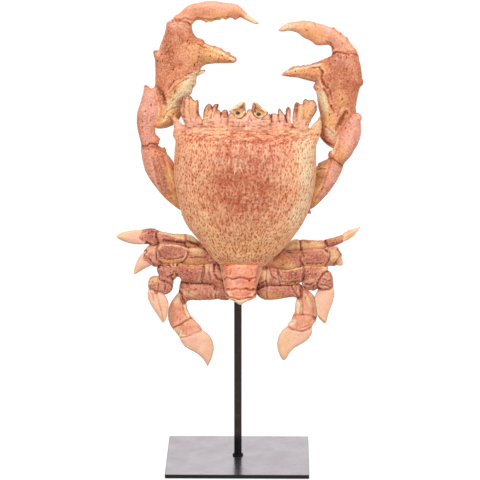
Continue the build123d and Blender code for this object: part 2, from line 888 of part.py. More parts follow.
# Limbs: the roots of each side are one group of separate solids
for outer, side_name in ((1, "left"), (-1, "right")):
    with BuildPart() as limb_roots:
        for limb in limbs:
            if limb.outer != outer:
                continue
            root = limb_root(limb)
            first = place(limb.chain[0], root.at(1, 0), outer)
            normal = first.seat_normal(root)
            cut_point = first.seat_point(root) - normal * (seam_gap / 2)
            with BuildPart(mode=Mode.PRIVATE) as coxa:
                loft(oval_sections(root))
                split(bisect_by=Plane(origin=cut_point, z_dir=normal), keep=Keep.BOTTOM)
                add(sternum.part, mode=Mode.SUBTRACT)
                with BuildSketch(Plane.XY.offset(stand_top)):
                    Circle(sleeve_radius + sleeve_cover)
                extrude(amount=sleeve_top + sleeve_cover - stand_top, mode=Mode.SUBTRACT)
            add(coxa.part)
    hand_over(limb_roots.part, f"{side_name}_limb_roots")

for limb in limbs:
    build_limb(limb, limb_root(limb))
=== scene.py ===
import logging
import math
from dataclasses import dataclass, field, replace
from enum import Enum

import bpy
import numpy as np
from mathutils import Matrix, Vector


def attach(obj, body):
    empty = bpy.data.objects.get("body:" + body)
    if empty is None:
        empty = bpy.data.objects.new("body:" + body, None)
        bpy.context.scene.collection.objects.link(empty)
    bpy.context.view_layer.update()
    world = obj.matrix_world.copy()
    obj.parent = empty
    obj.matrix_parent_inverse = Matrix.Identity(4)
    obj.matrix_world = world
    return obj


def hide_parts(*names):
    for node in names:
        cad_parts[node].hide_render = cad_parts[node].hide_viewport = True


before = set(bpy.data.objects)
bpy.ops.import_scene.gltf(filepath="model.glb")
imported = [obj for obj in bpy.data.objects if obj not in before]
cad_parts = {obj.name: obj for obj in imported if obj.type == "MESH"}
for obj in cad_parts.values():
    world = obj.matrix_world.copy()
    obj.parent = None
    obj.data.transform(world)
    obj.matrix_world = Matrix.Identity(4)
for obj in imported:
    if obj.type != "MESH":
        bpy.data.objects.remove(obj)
LOG = logging.getLogger("crab")
MM = 0.001
MERGE_METRES = 0.000002
SCREEN_KNEE = 0.04045
SCREEN_SLOPE = 12.92
SCREEN_OFFSET = 0.055
SCREEN_POWER = 2.4
FAR_PIXELS = 1e3
TINY = 1e-9

Pixel = tuple[float, float]
Span = tuple[float, float]
Triple = tuple[float, float, float]
Pixels = tuple[Pixel, ...]
Colour = tuple[float, float, float, float]
Paints = dict[str, bpy.types.Material]


def paint(red: int, green: int, blue: int) -> Colour:
    """Return a display colour of 0 to 255 a channel as the linear colour that shaders take.

    Args:
        red: Red level as seen on a screen.
        green: Green level.
        blue: Blue level.

    Returns:
        The linear red, green, blue and a full alpha.
    """
    shares = [level / 255 for level in (red, green, blue)]
    linear = [
        s / SCREEN_SLOPE if s <= SCREEN_KNEE else ((s + SCREEN_OFFSET) / (1 + SCREEN_OFFSET)) ** SCREEN_POWER
        for s in shares
    ]
    return (*linear, 1.0)


# The photograph's camera


@dataclass(frozen=True)
class PhotoCamera:
    """The camera that took the photograph, in millimetres, and its picture of 480 pixels."""

    x: float = 43.0
    y: float = -3317.0
    z: float = 953.0
    pitch: float = 12.16
    focal_pixels: float = 3247.0
    centre_pixel: Pixel = (237.9, 240.0)
    frame_pixels: float = 480.0
    sensor: float = 36.0
    clip_metres: float = 50.0

    @property
    def turn(self) -> float:
        """Return how far the camera turns to its left, in radians."""
        return math.atan2(self.x, -self.y)

    def pixels(self, points: np.ndarray) -> np.ndarray:
        """Return the picture's pixel of each point.

        Args:
            points: One row of x, y and z for each point, in millimetres.

        Returns:
            One row of across and down for each point.
        """
        away = points - np.array((self.x, self.y, self.z))
        cosine, sine = math.cos(self.turn), math.sin(self.turn)
        across = away[:, 0] * cosine + away[:, 1] * sine
        ahead = away[:, 1] * cosine - away[:, 0] * sine
        tilt = math.radians(self.pitch)
        depth = ahead * math.cos(tilt) - away[:, 2] * math.sin(tilt)
        rise = ahead * math.sin(tilt) + away[:, 2] * math.cos(tilt)
        right = self.centre_pixel[0] + self.focal_pixels * across / depth
        down = self.centre_pixel[1] - self.focal_pixels * rise / depth
        return np.stack((right, down), axis=1)

    def on_plane(self, pixel: Pixel, y: float) -> tuple[float, float]:
        """Return the x and z at which a pixel's ray meets an upright plane.

        Args:
            pixel: A pixel of the picture.
            y: How far back the plane is, in millimetres.

        Returns:
            The x and z of the meeting point, in millimetres.
        """
        across = (pixel[0] - self.centre_pixel[0]) / self.focal_pixels
        rise = (self.centre_pixel[1] - pixel[1]) / self.focal_pixels
        tilt = math.radians(self.pitch)
        ahead = math.cos(tilt) + rise * math.sin(tilt)
        up = rise * math.cos(tilt) - math.sin(tilt)
        cosine, sine = math.cos(self.turn), math.sin(self.turn)
        ray_x, ray_y = across * cosine - ahead * sine, across * sine + ahead * cosine
        reach = (y - self.y) / ray_y
        return self.x + ray_x * reach, self.z + up * reach

    def build(self) -> None:
        """Make the scene's camera."""
        data = bpy.data.cameras.new("camera")
        data.sensor_width = self.sensor
        data.lens = self.focal_pixels / self.frame_pixels * self.sensor
        data.shift_x = (self.frame_pixels / 2 - self.centre_pixel[0]) / self.frame_pixels
        data.clip_end = self.clip_metres
        camera = bpy.data.objects.new("camera", data)
        camera.location = Vector((self.x, self.y, self.z)) * MM
        camera.rotation_euler = (math.radians(90 - self.pitch), 0, self.turn)
        bpy.context.scene.collection.objects.link(camera)
        bpy.context.scene.camera = camera


PHOTO = PhotoCamera()


# What is drawn on the photograph


@dataclass(frozen=True)
class Stroke:
    """A crease or a ridge along pixels of the photograph.

    Width is in pixels and depth in millimetres; a crease has a depth above 0 and a
    ridge one below 0. Tone is how much wash or dry brush it takes, and a named paint
    is laid along it.
    """

    path: Pixels
    width: float = 0.8
    depth: float = 0.5
    tone: float = 0.9
    paint_name: str = ""
    strength: float = 0.8


@dataclass(frozen=True)
class Daub:
    """A soft patch of one of the paints, at a pixel of the photograph."""

    paint_name: str
    centre: Pixel
    radius: float
    strength: float = 1.0
    stretch: float = 1.0
    heading: float = 0.0


@dataclass(frozen=True)
class Enlargement:
    """A part of the photograph as it was enlarged to draw on, in the enlargement's units.

    What is drawn is written as text: a place is "across,down", and a semicolon parts
    one daub or one stroke from the next.
    """

    left: float
    top: float
    scale: float

    def at(self, across: float, down: float) -> Pixel:
        """Return the photograph's pixel for a place on the enlargement."""
        return self.left + across / self.scale, self.top + down / self.scale

    def path(self, places: str) -> Pixels:
        """Return the photograph's pixels for a row of places on the enlargement."""
        return tuple(self.at(*map(float, place.split(","))) for place in places.split())

    def daubs(self, rows: str) -> tuple[Daub, ...]:
        """Return the daubs of some rows.

        Args:
            rows: For each daub its paint, its middle, and as many of its radius, strength,
                stretch and heading as it states.

        Returns:
            The daubs, in the rows' order.
        """
        made = []
        for row in filter(None, rows.split("; ")):
            name, middle, *sizes = row.split()
            made.append(Daub(name, self.path(middle)[0], *map(float, sizes)))
        return tuple(made)

    def strokes(self, rows: str) -> tuple[Stroke, ...]:
        """Return the strokes of some rows.

        Args:
            rows: For each stroke its places, a colon, its width, depth and tone, and where it
                carries a paint, that paint and its strength.

        Returns:
            The strokes, in the rows' order.
        """
        made = []
        for row in filter(None, rows.split("; ")):
            places, marks = row.split(": ")
            width, depth, tone, *laid = marks.split()
            stroke = Stroke(self.path(places), float(width), float(depth), float(tone))
            if laid:
                stroke = replace(stroke, paint_name=laid[0], strength=float(laid[1]))
            made.append(stroke)
        return tuple(made)


WHOLE_PHOTO = Enlargement(0, 0, 1)
LEFT_CLAW_VIEW = Enlargement(130, 0, 11.879)
RIGHT_CLAW_VIEW = Enlargement(270, 14, 11.2)
LEFT_ARM_VIEW = Enlargement(132, 80, 11.529)
RIGHT_ARM_VIEW = Enlargement(300, 96, 13.517)
FRONT_VIEW = Enlargement(168, 90, 9.8)
LEFT_LEGS_VIEW = Enlargement(110, 218, 10.316)
RIGHT_LEGS_VIEW = Enlargement(232, 218, 10.316)


# Shader maths


class Value:
    """A shader socket that holds a number, with Python's operators as Math nodes."""

    def __init__(self, graph: "Graph", socket: bpy.types.NodeSocket) -> None:
        """Wrap a socket of a graph."""
        self.graph = graph
        self.socket = socket

    def maths(self, operation: str, *others: "Value | float", clamp: bool = False) -> "Value":
        """Add one Math node that takes this value first.

        Args:
            operation: The Math node's operation.
            others: The other values that it takes.
            clamp: Whether the result is kept from 0 to 1.

        Returns:
            The node's result.
        """
        sockets = dict(enumerate((self, *others)))
        node = self.graph.node("ShaderNodeMath", {"operation": operation, "use_clamp": clamp}, sockets)
        return Value(self.graph, node.outputs[0])

    def __add__(self, other: "Value | float") -> "Value":
        """Return the sum."""
        return self.maths("ADD", other)

    __radd__ = __add__

    def __mul__(self, other: "Value | float") -> "Value":
        """Return the product."""
        return self.maths("MULTIPLY", other)

    __rmul__ = __mul__

    def __sub__(self, other: "Value | float") -> "Value":
        """Return the difference."""
        return self.maths("SUBTRACT", other)

    def __rsub__(self, other: float) -> "Value":
        """Return a number less this value."""
        return self.maths("MULTIPLY_ADD", -1.0, other)

    def clamped(self) -> "Value":
        """Return the value kept from 0 to 1."""
        return self.maths("ADD", 0.0, clamp=True)

    def most(self, other: "Value | float") -> "Value":
        """Return the larger of the two."""
        return self.maths("MAXIMUM", other)

    def step(self, low: float, high: float) -> "Value":
        """Return a smooth step from 0 at the low value to 1 at the high one."""
        settings = {"interpolation_type": "SMOOTHSTEP"}
        sockets = {"Value": self, "From Min": low, "From Max": high}
        return Value(self.graph, self.graph.node("ShaderNodeMapRange", settings, sockets).outputs[0])


class Graph:
    """The node tree of one material, or of the world."""

    def __init__(self, name: str, kind: str = "materials") -> None:
        """Start an empty material or world of this name."""
        self.owner = getattr(bpy.data, kind).new(name)
        self.owner.use_nodes = True
        self.tree = self.owner.node_tree
        self.tree.nodes.clear()

    def node(
        self,
        kind: str,
        settings: dict[str, object] | None = None,
        sockets: dict[str | int, object] | None = None,
    ) -> bpy.types.Node:
        """Add a node.

        Args:
            kind: The node's type.
            settings: What is set on the node itself, before its sockets.
            sockets: A number, colour, value or socket for each input that isn't left alone.

        Returns:
            The new node.
        """
        node = self.tree.nodes.new(kind)
        for name, setting in (settings or {}).items():
            setattr(node, name, setting)
        for name, given in (sockets or {}).items():
            source = given.socket if isinstance(given, Value) else given
            if isinstance(source, bpy.types.NodeSocket):
                self.tree.links.new(source, node.inputs[name])
            else:
                node.inputs[name].default_value = source
        return node

    def place(self) -> bpy.types.NodeSocket:
        """Return the piece's Object coordinates."""
        return self.node("ShaderNodeTexCoord").outputs["Object"]

    def part_of(self, vector: bpy.types.NodeSocket, axis: str) -> Value:
        """Return one of a vector's three numbers."""
        return Value(self, self.node("ShaderNodeSeparateXYZ", None, {0: vector}).outputs[axis])

    def mask(self, name: str) -> Value:
        """Return one of the piece's own attributes."""
        return Value(self, self.node("ShaderNodeAttribute", {"attribute_name": name}).outputs["Fac"])

    def noise(self, size: float, detail: float = 3.0, rough: float = 0.55, shift: float = 0.0) -> Value:
        """Return noise from about 0.25 to 0.75.

        Args:
            size: The size of its largest blotches, in millimetres.
            detail: How many finer layers it has.
            rough: How strong the finer layers are.
            shift: How far the pattern is moved, so that two of one size differ.

        Returns:
            The noise.
        """
        moved = self.node("ShaderNodeMapping", None, {"Vector": self.place(), "Location": (shift,) * 3})
        sockets = {"Vector": moved.outputs[0], "Scale": 1 / (size * MM), "Detail": detail, "Roughness": rough}
        return Value(self, self.node("ShaderNodeTexNoise", None, sockets).outputs["Fac"])

    def cells(self, size: float) -> Value:
        """Return the distance to the nearest of scattered points, as a share of their spacing."""
        sockets = {"Vector": self.place(), "Scale": 1 / (size * MM)}
        return Value(self, self.node("ShaderNodeTexVoronoi", None, sockets).outputs["Distance"])

    def seen(self) -> Value:
        """Return 1 where the camera or a gloss looks, and 0 for the light itself."""
        rays = self.node("ShaderNodeLightPath")
        return Value(self, rays.outputs["Is Camera Ray"]).most(Value(self, rays.outputs["Is Glossy Ray"]))

    def blend(self, share: Value | float, under: object, over: object) -> bpy.types.NodeSocket:
        """Lay one colour over another.

        Args:
            share: How much of the upper colour shows.
            under: The lower colour, or its socket.
            over: The upper colour, or its socket.

        Returns:
            The mixed colour's socket.
        """
        settings = {"data_type": "RGBA", "clamp_factor": True}
        return self.node("ShaderNodeMix", settings, {0: share, 6: under, 7: over}).outputs[2]

    def bump(self, height: Value, depth: float, strength: float = 1.0) -> bpy.types.NodeSocket:
        """Return a normal bent by a height, which is 1 at a depth in millimetres."""
        sockets = {"Height": height, "Distance": depth * MM, "Strength": strength}
        return self.node("ShaderNodeBump", None, sockets).outputs[0]

    def surface(self, **sockets: object) -> bpy.types.Material:
        """Finish the material with a Principled shader.

        Args:
            sockets: Its inputs, with an underscore for each space in a name.

        Returns:
            The finished material.
        """
        named = {name.replace("_", " "): given for name, given in sockets.items()}
        shader = self.node("ShaderNodeBsdfPrincipled", None, named)
        self.node("ShaderNodeOutputMaterial", None, {"Surface": shader.outputs[0]})
        return self.owner


# Finishes


@dataclass(frozen=True)
class CastResin:
    """Hand-painted cast resin: a wash in the hollows and dry brush on what stands proud."""

    name: str
    slot: str
    ground: Colour
    blotch: Colour
    hollow: Colour
    crest: Colour
    rose: Colour = paint(252, 182, 160)
    ochre: Colour = paint(248, 190, 116)
    cream: Colour = paint(255, 232, 188)
    umber: Colour = paint(152, 70, 18)
    blotch_size: float = 16.0
    wash: float = 1.0
    brush: float = 0.8
    speckle: float = 0.6
    roughness: float = 0.56
    sheen: float = 0.35
    medium_size: float = 4.2
    fine_size: float = 1.9
    grit_size: float = 0.9
    grit_depth: float = 0.3

    def make(self) -> bpy.types.Material:
        """Return the material, which reads the masks that the relief leaves on a piece."""
        graph = Graph(self.name)
        large = graph.noise(self.blotch_size, 4.0).step(0.38, 0.66)
        medium = graph.noise(self.medium_size, 3.0, 0.6, 0.7).step(0.36, 0.68)
        fine = graph.noise(self.fine_size, 3.0, 0.7, 1.9)
        colour = graph.blend(large * 0.75, self.ground, self.blotch)
        for name, least, swing in (("rose", 0.65, 0.35), ("ochre", 0.65, 0.35), ("umber", 0.6, 0.4)):
            colour = graph.blend(graph.mask(name) * (least + swing * medium), colour, getattr(self, name))
        tone = graph.mask("tone")
        hollows = (tone * -1.0).clamped()
        crests = tone.clamped()
        colour = graph.blend((hollows * self.wash * (0.75 + 0.5 * medium)).clamped(), colour, self.hollow)
        colour = graph.blend(crests * self.brush * (0.45 + 0.7 * fine), colour, self.crest)
        colour = graph.blend(graph.mask("cream") * (1 - 0.75 * hollows), colour, self.cream)
        spots = fine.step(0.36, 0.5)
        colour = graph.blend((1 - spots) * self.speckle * 0.6, colour, self.hollow)
        # painted highlight: pale glints in the crest colour, as light catching the grain
        glints = fine.step(0.54, 0.68)
        colour = graph.blend(glints * self.speckle * 0.6, colour, self.crest)
        rough = self.roughness + 0.12 * hollows + 0.18 * (medium - 0.5)
        normal = graph.bump(fine + 0.4 * graph.cells(self.grit_size), self.grit_depth, 0.5)
        return graph.surface(Base_Color=colour, Roughness=rough, Normal=normal, Specular_IOR_Level=self.sheen)


@dataclass(frozen=True)
class LacqueredSteel:
    """Blackened steel under lacquer, with a black edge, that mirrors what is pale around it."""

    name: str = "lacquered_steel"
    face: Colour = paint(184, 177, 183)
    stain: Colour = paint(173, 162, 168)
    edge: Colour = paint(14, 13, 14)
    roughness: float = 0.2
    sheen: float = 0.25
    cloud_size: float = 30.0
    fleck_size: float = 2.2
    dust_size: float = 0.6
    dust_depth: float = 0.01

    def make(self) -> bpy.types.Material:
        """Return the material, with its mottling, small scratches and stains."""
        graph = Graph(self.name)
        top = graph.part_of(graph.node("ShaderNodeNewGeometry").outputs["Normal"], "Z").step(0.75, 0.95)
        clouds = graph.noise(self.cloud_size, 4.0, 0.6).step(0.36, 0.68)
        flecks = graph.noise(self.fleck_size, 2.0, 0.5, 0.4).step(0.62, 0.7)
        dust = graph.noise(self.dust_size, 2.0, 0.6, 0.9)
        face = graph.blend(clouds, self.face, self.stain)
        face = graph.blend(flecks * 0.6, face, self.edge)
        colour = graph.blend(top, self.edge, face)
        rough = self.roughness + 0.03 * clouds + 0.1 * flecks + 0.25 * (1 - top)
        normal = graph.bump(dust, self.dust_depth, 0.3)
        sockets = {"Base_Color": colour, "Metallic": top * 0.97, "Roughness": rough, "Normal": normal}
        return graph.surface(**sockets, Specular_IOR_Level=self.sheen)


@dataclass(frozen=True)
class PowderCoat:
    """Black powder coat with its fine orange peel, and painted shade that darkens it to black towards the
    welded foot.
    """

    name: str = "powder_coat"
    colour: Colour = paint(45, 38, 36)
    worn: Colour = paint(74, 61, 53)
    # painted shade: the near black laid over the rod's lowest part, just above the plate
    painted_foot_shade: Colour = paint(2, 2, 2)
    painted_shade_top: float = 31.0
    painted_shade_fade: float = 9.0
    roughness: float = 0.4
    sheen: float = 0.12
    peel_size: float = 0.8
    peel_depth: float = 0.03
    rubbed_size: float = 14.0

    def make(self) -> bpy.types.Material:
        """Return the material."""
        graph = Graph(self.name)
        peel = graph.noise(self.peel_size, 2.0)
        rubbed = graph.noise(self.rubbed_size, 4.0).step(0.5, 0.7)
        height = graph.part_of(graph.place(), "Z")
        # painted shade: darker towards the foot, near black at the plate and fading out above
        painted_shade_share = 1 - height.step((self.painted_shade_top - self.painted_shade_fade) * MM, self.painted_shade_top * MM)
        colour = graph.blend(rubbed * 0.6, self.colour, self.worn)
        colour = graph.blend(painted_shade_share, colour, self.painted_foot_shade)
        rough = self.roughness + 0.14 * rubbed + 0.1 * (peel - 0.5) - 0.1 * painted_shade_share
        normal = graph.bump(peel, self.peel_depth, 0.5)
        return graph.surface(Base_Color=colour, Roughness=rough, Normal=normal, Specular_IOR_Level=self.sheen)


@dataclass(frozen=True)
class PlainMetal:
    """Bare turned steel."""

    name: str = "turned_steel"
    colour: Colour = paint(176, 174, 170)
    dull: Colour = paint(120, 116, 112)
    roughness: float = 0.3
    mark_size: float = 0.5
    mark_depth: float = 0.02
    dull_size: float = 6.0

    def make(self) -> bpy.types.Material:
        """Return the material, with the tool's fine marks."""
        graph = Graph(self.name)
        marks = graph.noise(self.mark_size, 2.0)
        dull = graph.noise(self.dull_size, 4.0).step(0.42, 0.62)
        colour = graph.blend(dull, self.colour, self.dull)
        rough = self.roughness + 0.2 * dull
        normal = graph.bump(marks, self.mark_depth, 0.4)
        return graph.surface(Base_Color=colour, Metallic=1.0, Roughness=rough, Normal=normal)


@dataclass(frozen=True)
class PadRubber:
    """Dark felted rubber."""

    name: str = "pad_rubber"
    colour: Colour = paint(34, 34, 35)
    dust: Colour = paint(66, 64, 62)
    grain_size: float = 0.7
    grain_depth: float = 0.1

    def make(self) -> bpy.types.Material:
        """Return the material."""
        graph = Graph(self.name)
        grain = graph.noise(self.grain_size, 3.0)
        colour = graph.blend(grain.step(0.45, 0.7) * 0.7, self.colour, self.dust)
        rough = 0.75 + 0.2 * (grain - 0.5)
        normal = graph.bump(grain, self.grain_depth, 0.6)
        return graph.surface(Base_Color=colour, Roughness=rough, Normal=normal)


@dataclass(frozen=True)
class EyeGloss:
    """Dark varnish over the cast eyes."""

    name: str = "eye_gloss"
    colour: Colour = paint(52, 44, 40)
    rim: Colour = paint(128, 108, 84)
    mottle_size: float = 1.6
    mottle_depth: float = 0.1

    def make(self) -> bpy.types.Material:
        """Return the material."""
        graph = Graph(self.name)
        mottle = graph.noise(self.mottle_size, 3.0)
        colour = graph.blend(mottle.step(0.5, 0.72), self.colour, self.rim)
        normal = graph.bump(mottle, self.mottle_depth, 0.4)
        return graph.surface(Base_Color=colour, Roughness=0.3 + 0.2 * mottle, Normal=normal)


CLAW = CastResin(
    "claw_paint", "claw_resin",
    paint(232, 146, 106), paint(208, 114, 74), paint(132, 48, 20), paint(255, 212, 180), speckle=0.75,
)
FINGER = CastResin(
    "finger_paint", "claw_resin",
    paint(244, 168, 130), paint(232, 148, 100), paint(160, 74, 40), paint(255, 216, 184), speckle=0.5,
)
BACK = CastResin(
    "back_paint", "shell_resin",
    paint(250, 186, 140), paint(238, 160, 112), paint(170, 70, 38), paint(255, 222, 186),
    rose=paint(228, 140, 116), umber=paint(176, 82, 48), blotch_size=30.0, speckle=0.6,
)
LOBE = CastResin(
    "lobe_paint", "shell_resin",
    paint(240, 176, 134), paint(226, 150, 112), paint(130, 50, 30), paint(255, 216, 178), speckle=0.5,
)
LEG = CastResin(
    "leg_paint", "leg_resin",
    paint(216, 140, 110), paint(190, 104, 80), paint(96, 30, 16), paint(255, 212, 182),
    rose=paint(186, 102, 88), ochre=paint(236, 166, 96), cream=paint(250, 206, 150), blotch_size=9.0,
)
LEG_PALE = CastResin(
    "leg_pale_paint", "leg_resin",
    paint(246, 172, 138), paint(236, 150, 116), paint(150, 64, 34), paint(255, 224, 192),
    rose=paint(240, 150, 126), blotch_size=10.0, speckle=0.4, wash=0.85,
)
LEG_TIP = CastResin(
    "leg_tip_paint", "leg_tip_resin",
    paint(250, 200, 168), paint(242, 180, 148), paint(186, 104, 74), paint(255, 228, 198),
    ochre=paint(246, 198, 138), blotch_size=12.0, speckle=0.25, brush=0.5, wash=0.8,
)
TAIL = CastResin(
    "tail_paint", "tail_resin",
    paint(246, 154, 118), paint(232, 130, 96), paint(146, 52, 26), paint(255, 214, 178), speckle=0.4,
)
BELLY = CastResin(
    "belly_paint", "underside_resin",
    paint(234, 182, 146), paint(216, 150, 116), paint(140, 74, 46), paint(250, 218, 188), blotch_size=22.0,
    speckle=0.4,
)
PALE = CastResin(
    "pale_paint", "pale_resin", paint(244, 202, 144), paint(232, 180, 120), paint(120, 60, 30),
    paint(255, 230, 186), umber=paint(186, 100, 58), speckle=0.3,
)


# Mesh work by operator


class Bench:
    """Mesh work on one object at a time."""

    @staticmethod
    def only(*objects: bpy.types.Object) -> None:
        """Select these objects alone, and make the first one active."""
        bpy.ops.object.select_all(action="DESELECT")
        for chosen in objects:
            chosen.select_set(True)
        bpy.context.view_layer.objects.active = objects[0]

    @staticmethod
    def edit(work: bpy.types.Object) -> None:
        """Open an object in edit mode with all of it selected."""
        Bench.only(work)
        bpy.ops.object.mode_set(mode="EDIT")
        bpy.ops.mesh.select_all(action="SELECT")

    @staticmethod
    def close() -> None:
        """Leave edit mode."""
        bpy.ops.object.mode_set(mode="OBJECT")

    @staticmethod
    def modify(work: bpy.types.Object, kind: str, **settings: object) -> None:
        """Add one modifier to an object and apply it.

        Args:
            work: The object.
            kind: The modifier's type.
            settings: What is set on it.
        """
        Bench.only(work)
        modifier = work.modifiers.new(kind.lower(), kind)
        for name, setting in settings.items():
            setattr(modifier, name, setting)
        bpy.ops.object.modifier_apply(modifier=modifier.name)

    @staticmethod
    def copy_node(node: str, name: str) -> bpy.types.Object:
        """Return a merged copy of a CAD node, riding on nothing.

        Args:
            node: The node's name.
            name: The copy's name.

        Returns:
            The new object.
        """
        work = bpy.data.objects.new(name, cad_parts[node].data.copy())
        bpy.context.scene.collection.objects.link(work)
        work.data.materials.clear()
        Bench.edit(work)
        bpy.ops.mesh.remove_doubles(threshold=MERGE_METRES)
        Bench.close()
        bpy.ops.mesh.customdata_custom_splitnormals_clear()
        return work

    @staticmethod
    def settle(work: bpy.types.Object) -> None:
        """Apply an object's place, turn and size to its mesh."""
        Bench.only(work)
        bpy.ops.object.transform_apply(location=True, rotation=True, scale=True)

    @staticmethod
    def named(name: str) -> bpy.types.Object:
        """Name the object that an operator has just added, and return it."""
        work = bpy.context.active_object
        work.name = name
        work.data.name = name
        return work

    @staticmethod
    def join(*objects: bpy.types.Object) -> bpy.types.Object:
        """Join objects into the first one and return it."""
        Bench.only(*objects)
        bpy.ops.object.join()
        return objects[0]

    @staticmethod
    def positions(work: bpy.types.Object) -> np.ndarray:
        """Return a mesh's points in millimetres, one row each."""
        flat = np.empty(len(work.data.vertices) * 3)
        work.data.vertices.foreach_get("co", flat)
        return flat.reshape(-1, 3) / MM

    @staticmethod
    def move_to(work: bpy.types.Object, points: np.ndarray) -> None:
        """Put a mesh's points at these places, in millimetres."""
        work.data.vertices.foreach_set("co", (points * MM).ravel())
        work.data.update()

    @staticmethod
    def fill_edge(work: bpy.types.Object) -> None:
        """Close an open mesh with one face over its edge, and turn its faces outward."""
        Bench.edit(work)
        bpy.ops.mesh.select_all(action="DESELECT")
        bpy.ops.mesh.select_non_manifold(extend=False, use_boundary=True)
        bpy.ops.mesh.edge_face_add()
        bpy.ops.mesh.select_all(action="SELECT")
        bpy.ops.mesh.normals_make_consistent(inside=False)
        Bench.close()

    @staticmethod
    def hand_over(
        work: bpy.types.Object,
        paints: Paints,
        finish: CastResin,
        node: str | None = None,
        angle: float = 180.0,
    ) -> None:
        """Shade, paint and fix a finished piece to the crab.

        Args:
            work: The piece.
            paints: The materials by name.
            finish: Its finish.
            node: The CAD node that it stands for, if any.
            angle: The sharpest edge that is shaded smooth, in degrees.
        """
        Bench.only(work)
        bpy.ops.object.shade_smooth_by_angle(angle=math.radians(angle))
        work.data.materials.clear()
        work.data.materials.append(paints[finish.name])
        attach(work, "crab")
        if node:
            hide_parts(node)
        LOG.info("%s: %d triangles", work.name, sum(len(p.vertices) - 2 for p in work.data.polygons))


# Relief


class Scatter:
    """Numbers that look random, worked out from places alone."""

    CELL_PRIMES = (73856093, 19349663, 83492791)
    SEED_PRIME = 2654435761
    MIXERS = ((13, 1274126177), (16, 2246822519))
    WORD = 0xFFFFFFFF
    HALF_WORD = 0xFFFF

    @staticmethod
    def hashed(cells: np.ndarray, seed: int) -> np.ndarray:
        """Return a number from 0 to 1 for each whole-number cell.

        Args:
            cells: One row of three whole numbers for each cell.
            seed: Which of many patterns.

        Returns:
            One number for each cell.
        """
        across, back, up = (cells[:, axis] * prime for axis, prime in enumerate(Scatter.CELL_PRIMES))
        mixed = across ^ back ^ up ^ seed * Scatter.SEED_PRIME
        for shift, factor in Scatter.MIXERS:
            mixed = (mixed ^ (mixed >> shift)) * factor & Scatter.WORD
        return (mixed >> 8 & Scatter.HALF_WORD) / float(Scatter.HALF_WORD)

    @staticmethod
    def noise(points: np.ndarray, size: float, seed: int) -> np.ndarray:
        """Return smooth noise from -1 to 1.

        Args:
            points: The places, in millimetres.
            size: The size of its blotches, in millimetres.
            seed: Which of many patterns.

        Returns:
            One number for each place.
        """
        scaled = points / size
        cell = np.floor(scaled).astype(np.int64)
        part = scaled - cell
        part = part * part * (3 - 2 * part)
        total = np.zeros(len(points))
        for corner in np.ndindex(2, 2, 2):
            offset = np.array(corner)
            weight = np.prod(np.where(offset == 1, part, 1 - part), axis=1)
            total += weight * Scatter.hashed(cell + offset, seed)
        return total * 2 - 1

    @staticmethod
    def layered(points: np.ndarray, size: float, fine_size: float, seed: int) -> np.ndarray:
        """Return noise with a finer layer of half its strength."""
        return Scatter.noise(points, size, seed) + 0.5 * Scatter.noise(points, fine_size, seed + 1)

    @staticmethod
    def nearest(points: np.ndarray, size: float, seed: int) -> tuple[np.ndarray, np.ndarray]:
        """Return how far each place is from the nearest of scattered points.

        Args:
            points: The places, in millimetres.
            size: The points' spacing, in millimetres.
            seed: Which of many patterns.

        Returns:
            The distance as a share of the spacing, and a number from 0 to 1 for that point.
        """
        scaled = points / size
        cell = np.floor(scaled).astype(np.int64)
        best = np.full(len(points), 9.0)
        mark = np.zeros(len(points))
        for step in np.ndindex(3, 3, 3):
            near = cell + np.array(step) - 1
            spot = np.stack([Scatter.hashed(near, seed + k) for k in range(3)], axis=1) * 0.8 + 0.1
            distance = np.linalg.norm(near + spot - scaled, axis=1)
            closer = distance < best
            best = np.where(closer, distance, best)
            mark = np.where(closer, spot[:, 0], mark)
        return best, mark


def smooth_step(values: np.ndarray, low: float, high: float) -> np.ndarray:
    """Return a smooth step from 0 at the low value to 1 at the high one."""
    share = np.clip((values - low) / (high - low), 0, 1)
    return share * share * (3 - 2 * share)


def lines_of(path: Pixels) -> list[Pixels]:
    """Return an open path's straight lines, each as its two ends."""
    return list(zip(path, path[1:]))


def distance_to(pixels: np.ndarray, lines: list[Pixels]) -> np.ndarray:
    """Return how many pixels each place is from the nearest of some lines.

    Args:
        pixels: The places.
        lines: The lines, each as its two ends.

    Returns:
        One distance for each place.
    """
    best = np.full(len(pixels), FAR_PIXELS)
    for start, end in lines:
        a, d = np.array(start), np.array(end) - np.array(start)
        away = pixels - a
        share = np.clip(away @ d / max(d @ d, TINY), 0, 1)
        best = np.minimum(best, np.linalg.norm(away - share[:, None] * d, axis=1))
    return best


def is_inside(pixels: np.ndarray, outline: Pixels) -> np.ndarray:
    """Return whether each place is inside a closed outline."""
    inside = np.zeros(len(pixels), bool)
    for (x0, y0), (x1, y1) in zip(outline, outline[1:] + outline[:1]):
        crosses = (y0 > pixels[:, 1]) != (y1 > pixels[:, 1])
        at = x0 + (pixels[:, 1] - y0) * (x1 - x0) / (y1 - y0 if y1 != y0 else 1.0)
        inside ^= crosses & (pixels[:, 0] < at)
    return inside


@dataclass(frozen=True)
class Grain:
    """How rough a cast surface is, in millimetres."""

    swell_size: float = 9.0
    swell: float = 0.35
    bead_size: float = 2.0
    bead: float = 0.28
    pit_size: float = 2.8
    pit: float = 0.35
    pit_share: float = 0.35
    pit_stretch: float = 2.2
    tone: float = 0.75
    bead_edge: Span = (0.1, 0.62)
    bead_level: float = 0.35
    pit_edge: Span = (0.16, 0.38)


@dataclass(frozen=True)
class Crack:
    """The crack between two segments: depths in millimetres, and reaches in pixels."""

    depth: float = 0.8
    width: float = 0.75
    tone: float = 0.95
    lip_place: float = 2.3
    lip_height: float = 0.3
    lip_tone: float = 0.25
    dive: float = 0.6
    dive_reach: float = 2.5
    patch_size: float = 4.5
    seed: int = 13
    facing: Span = (0.3, 0.75)


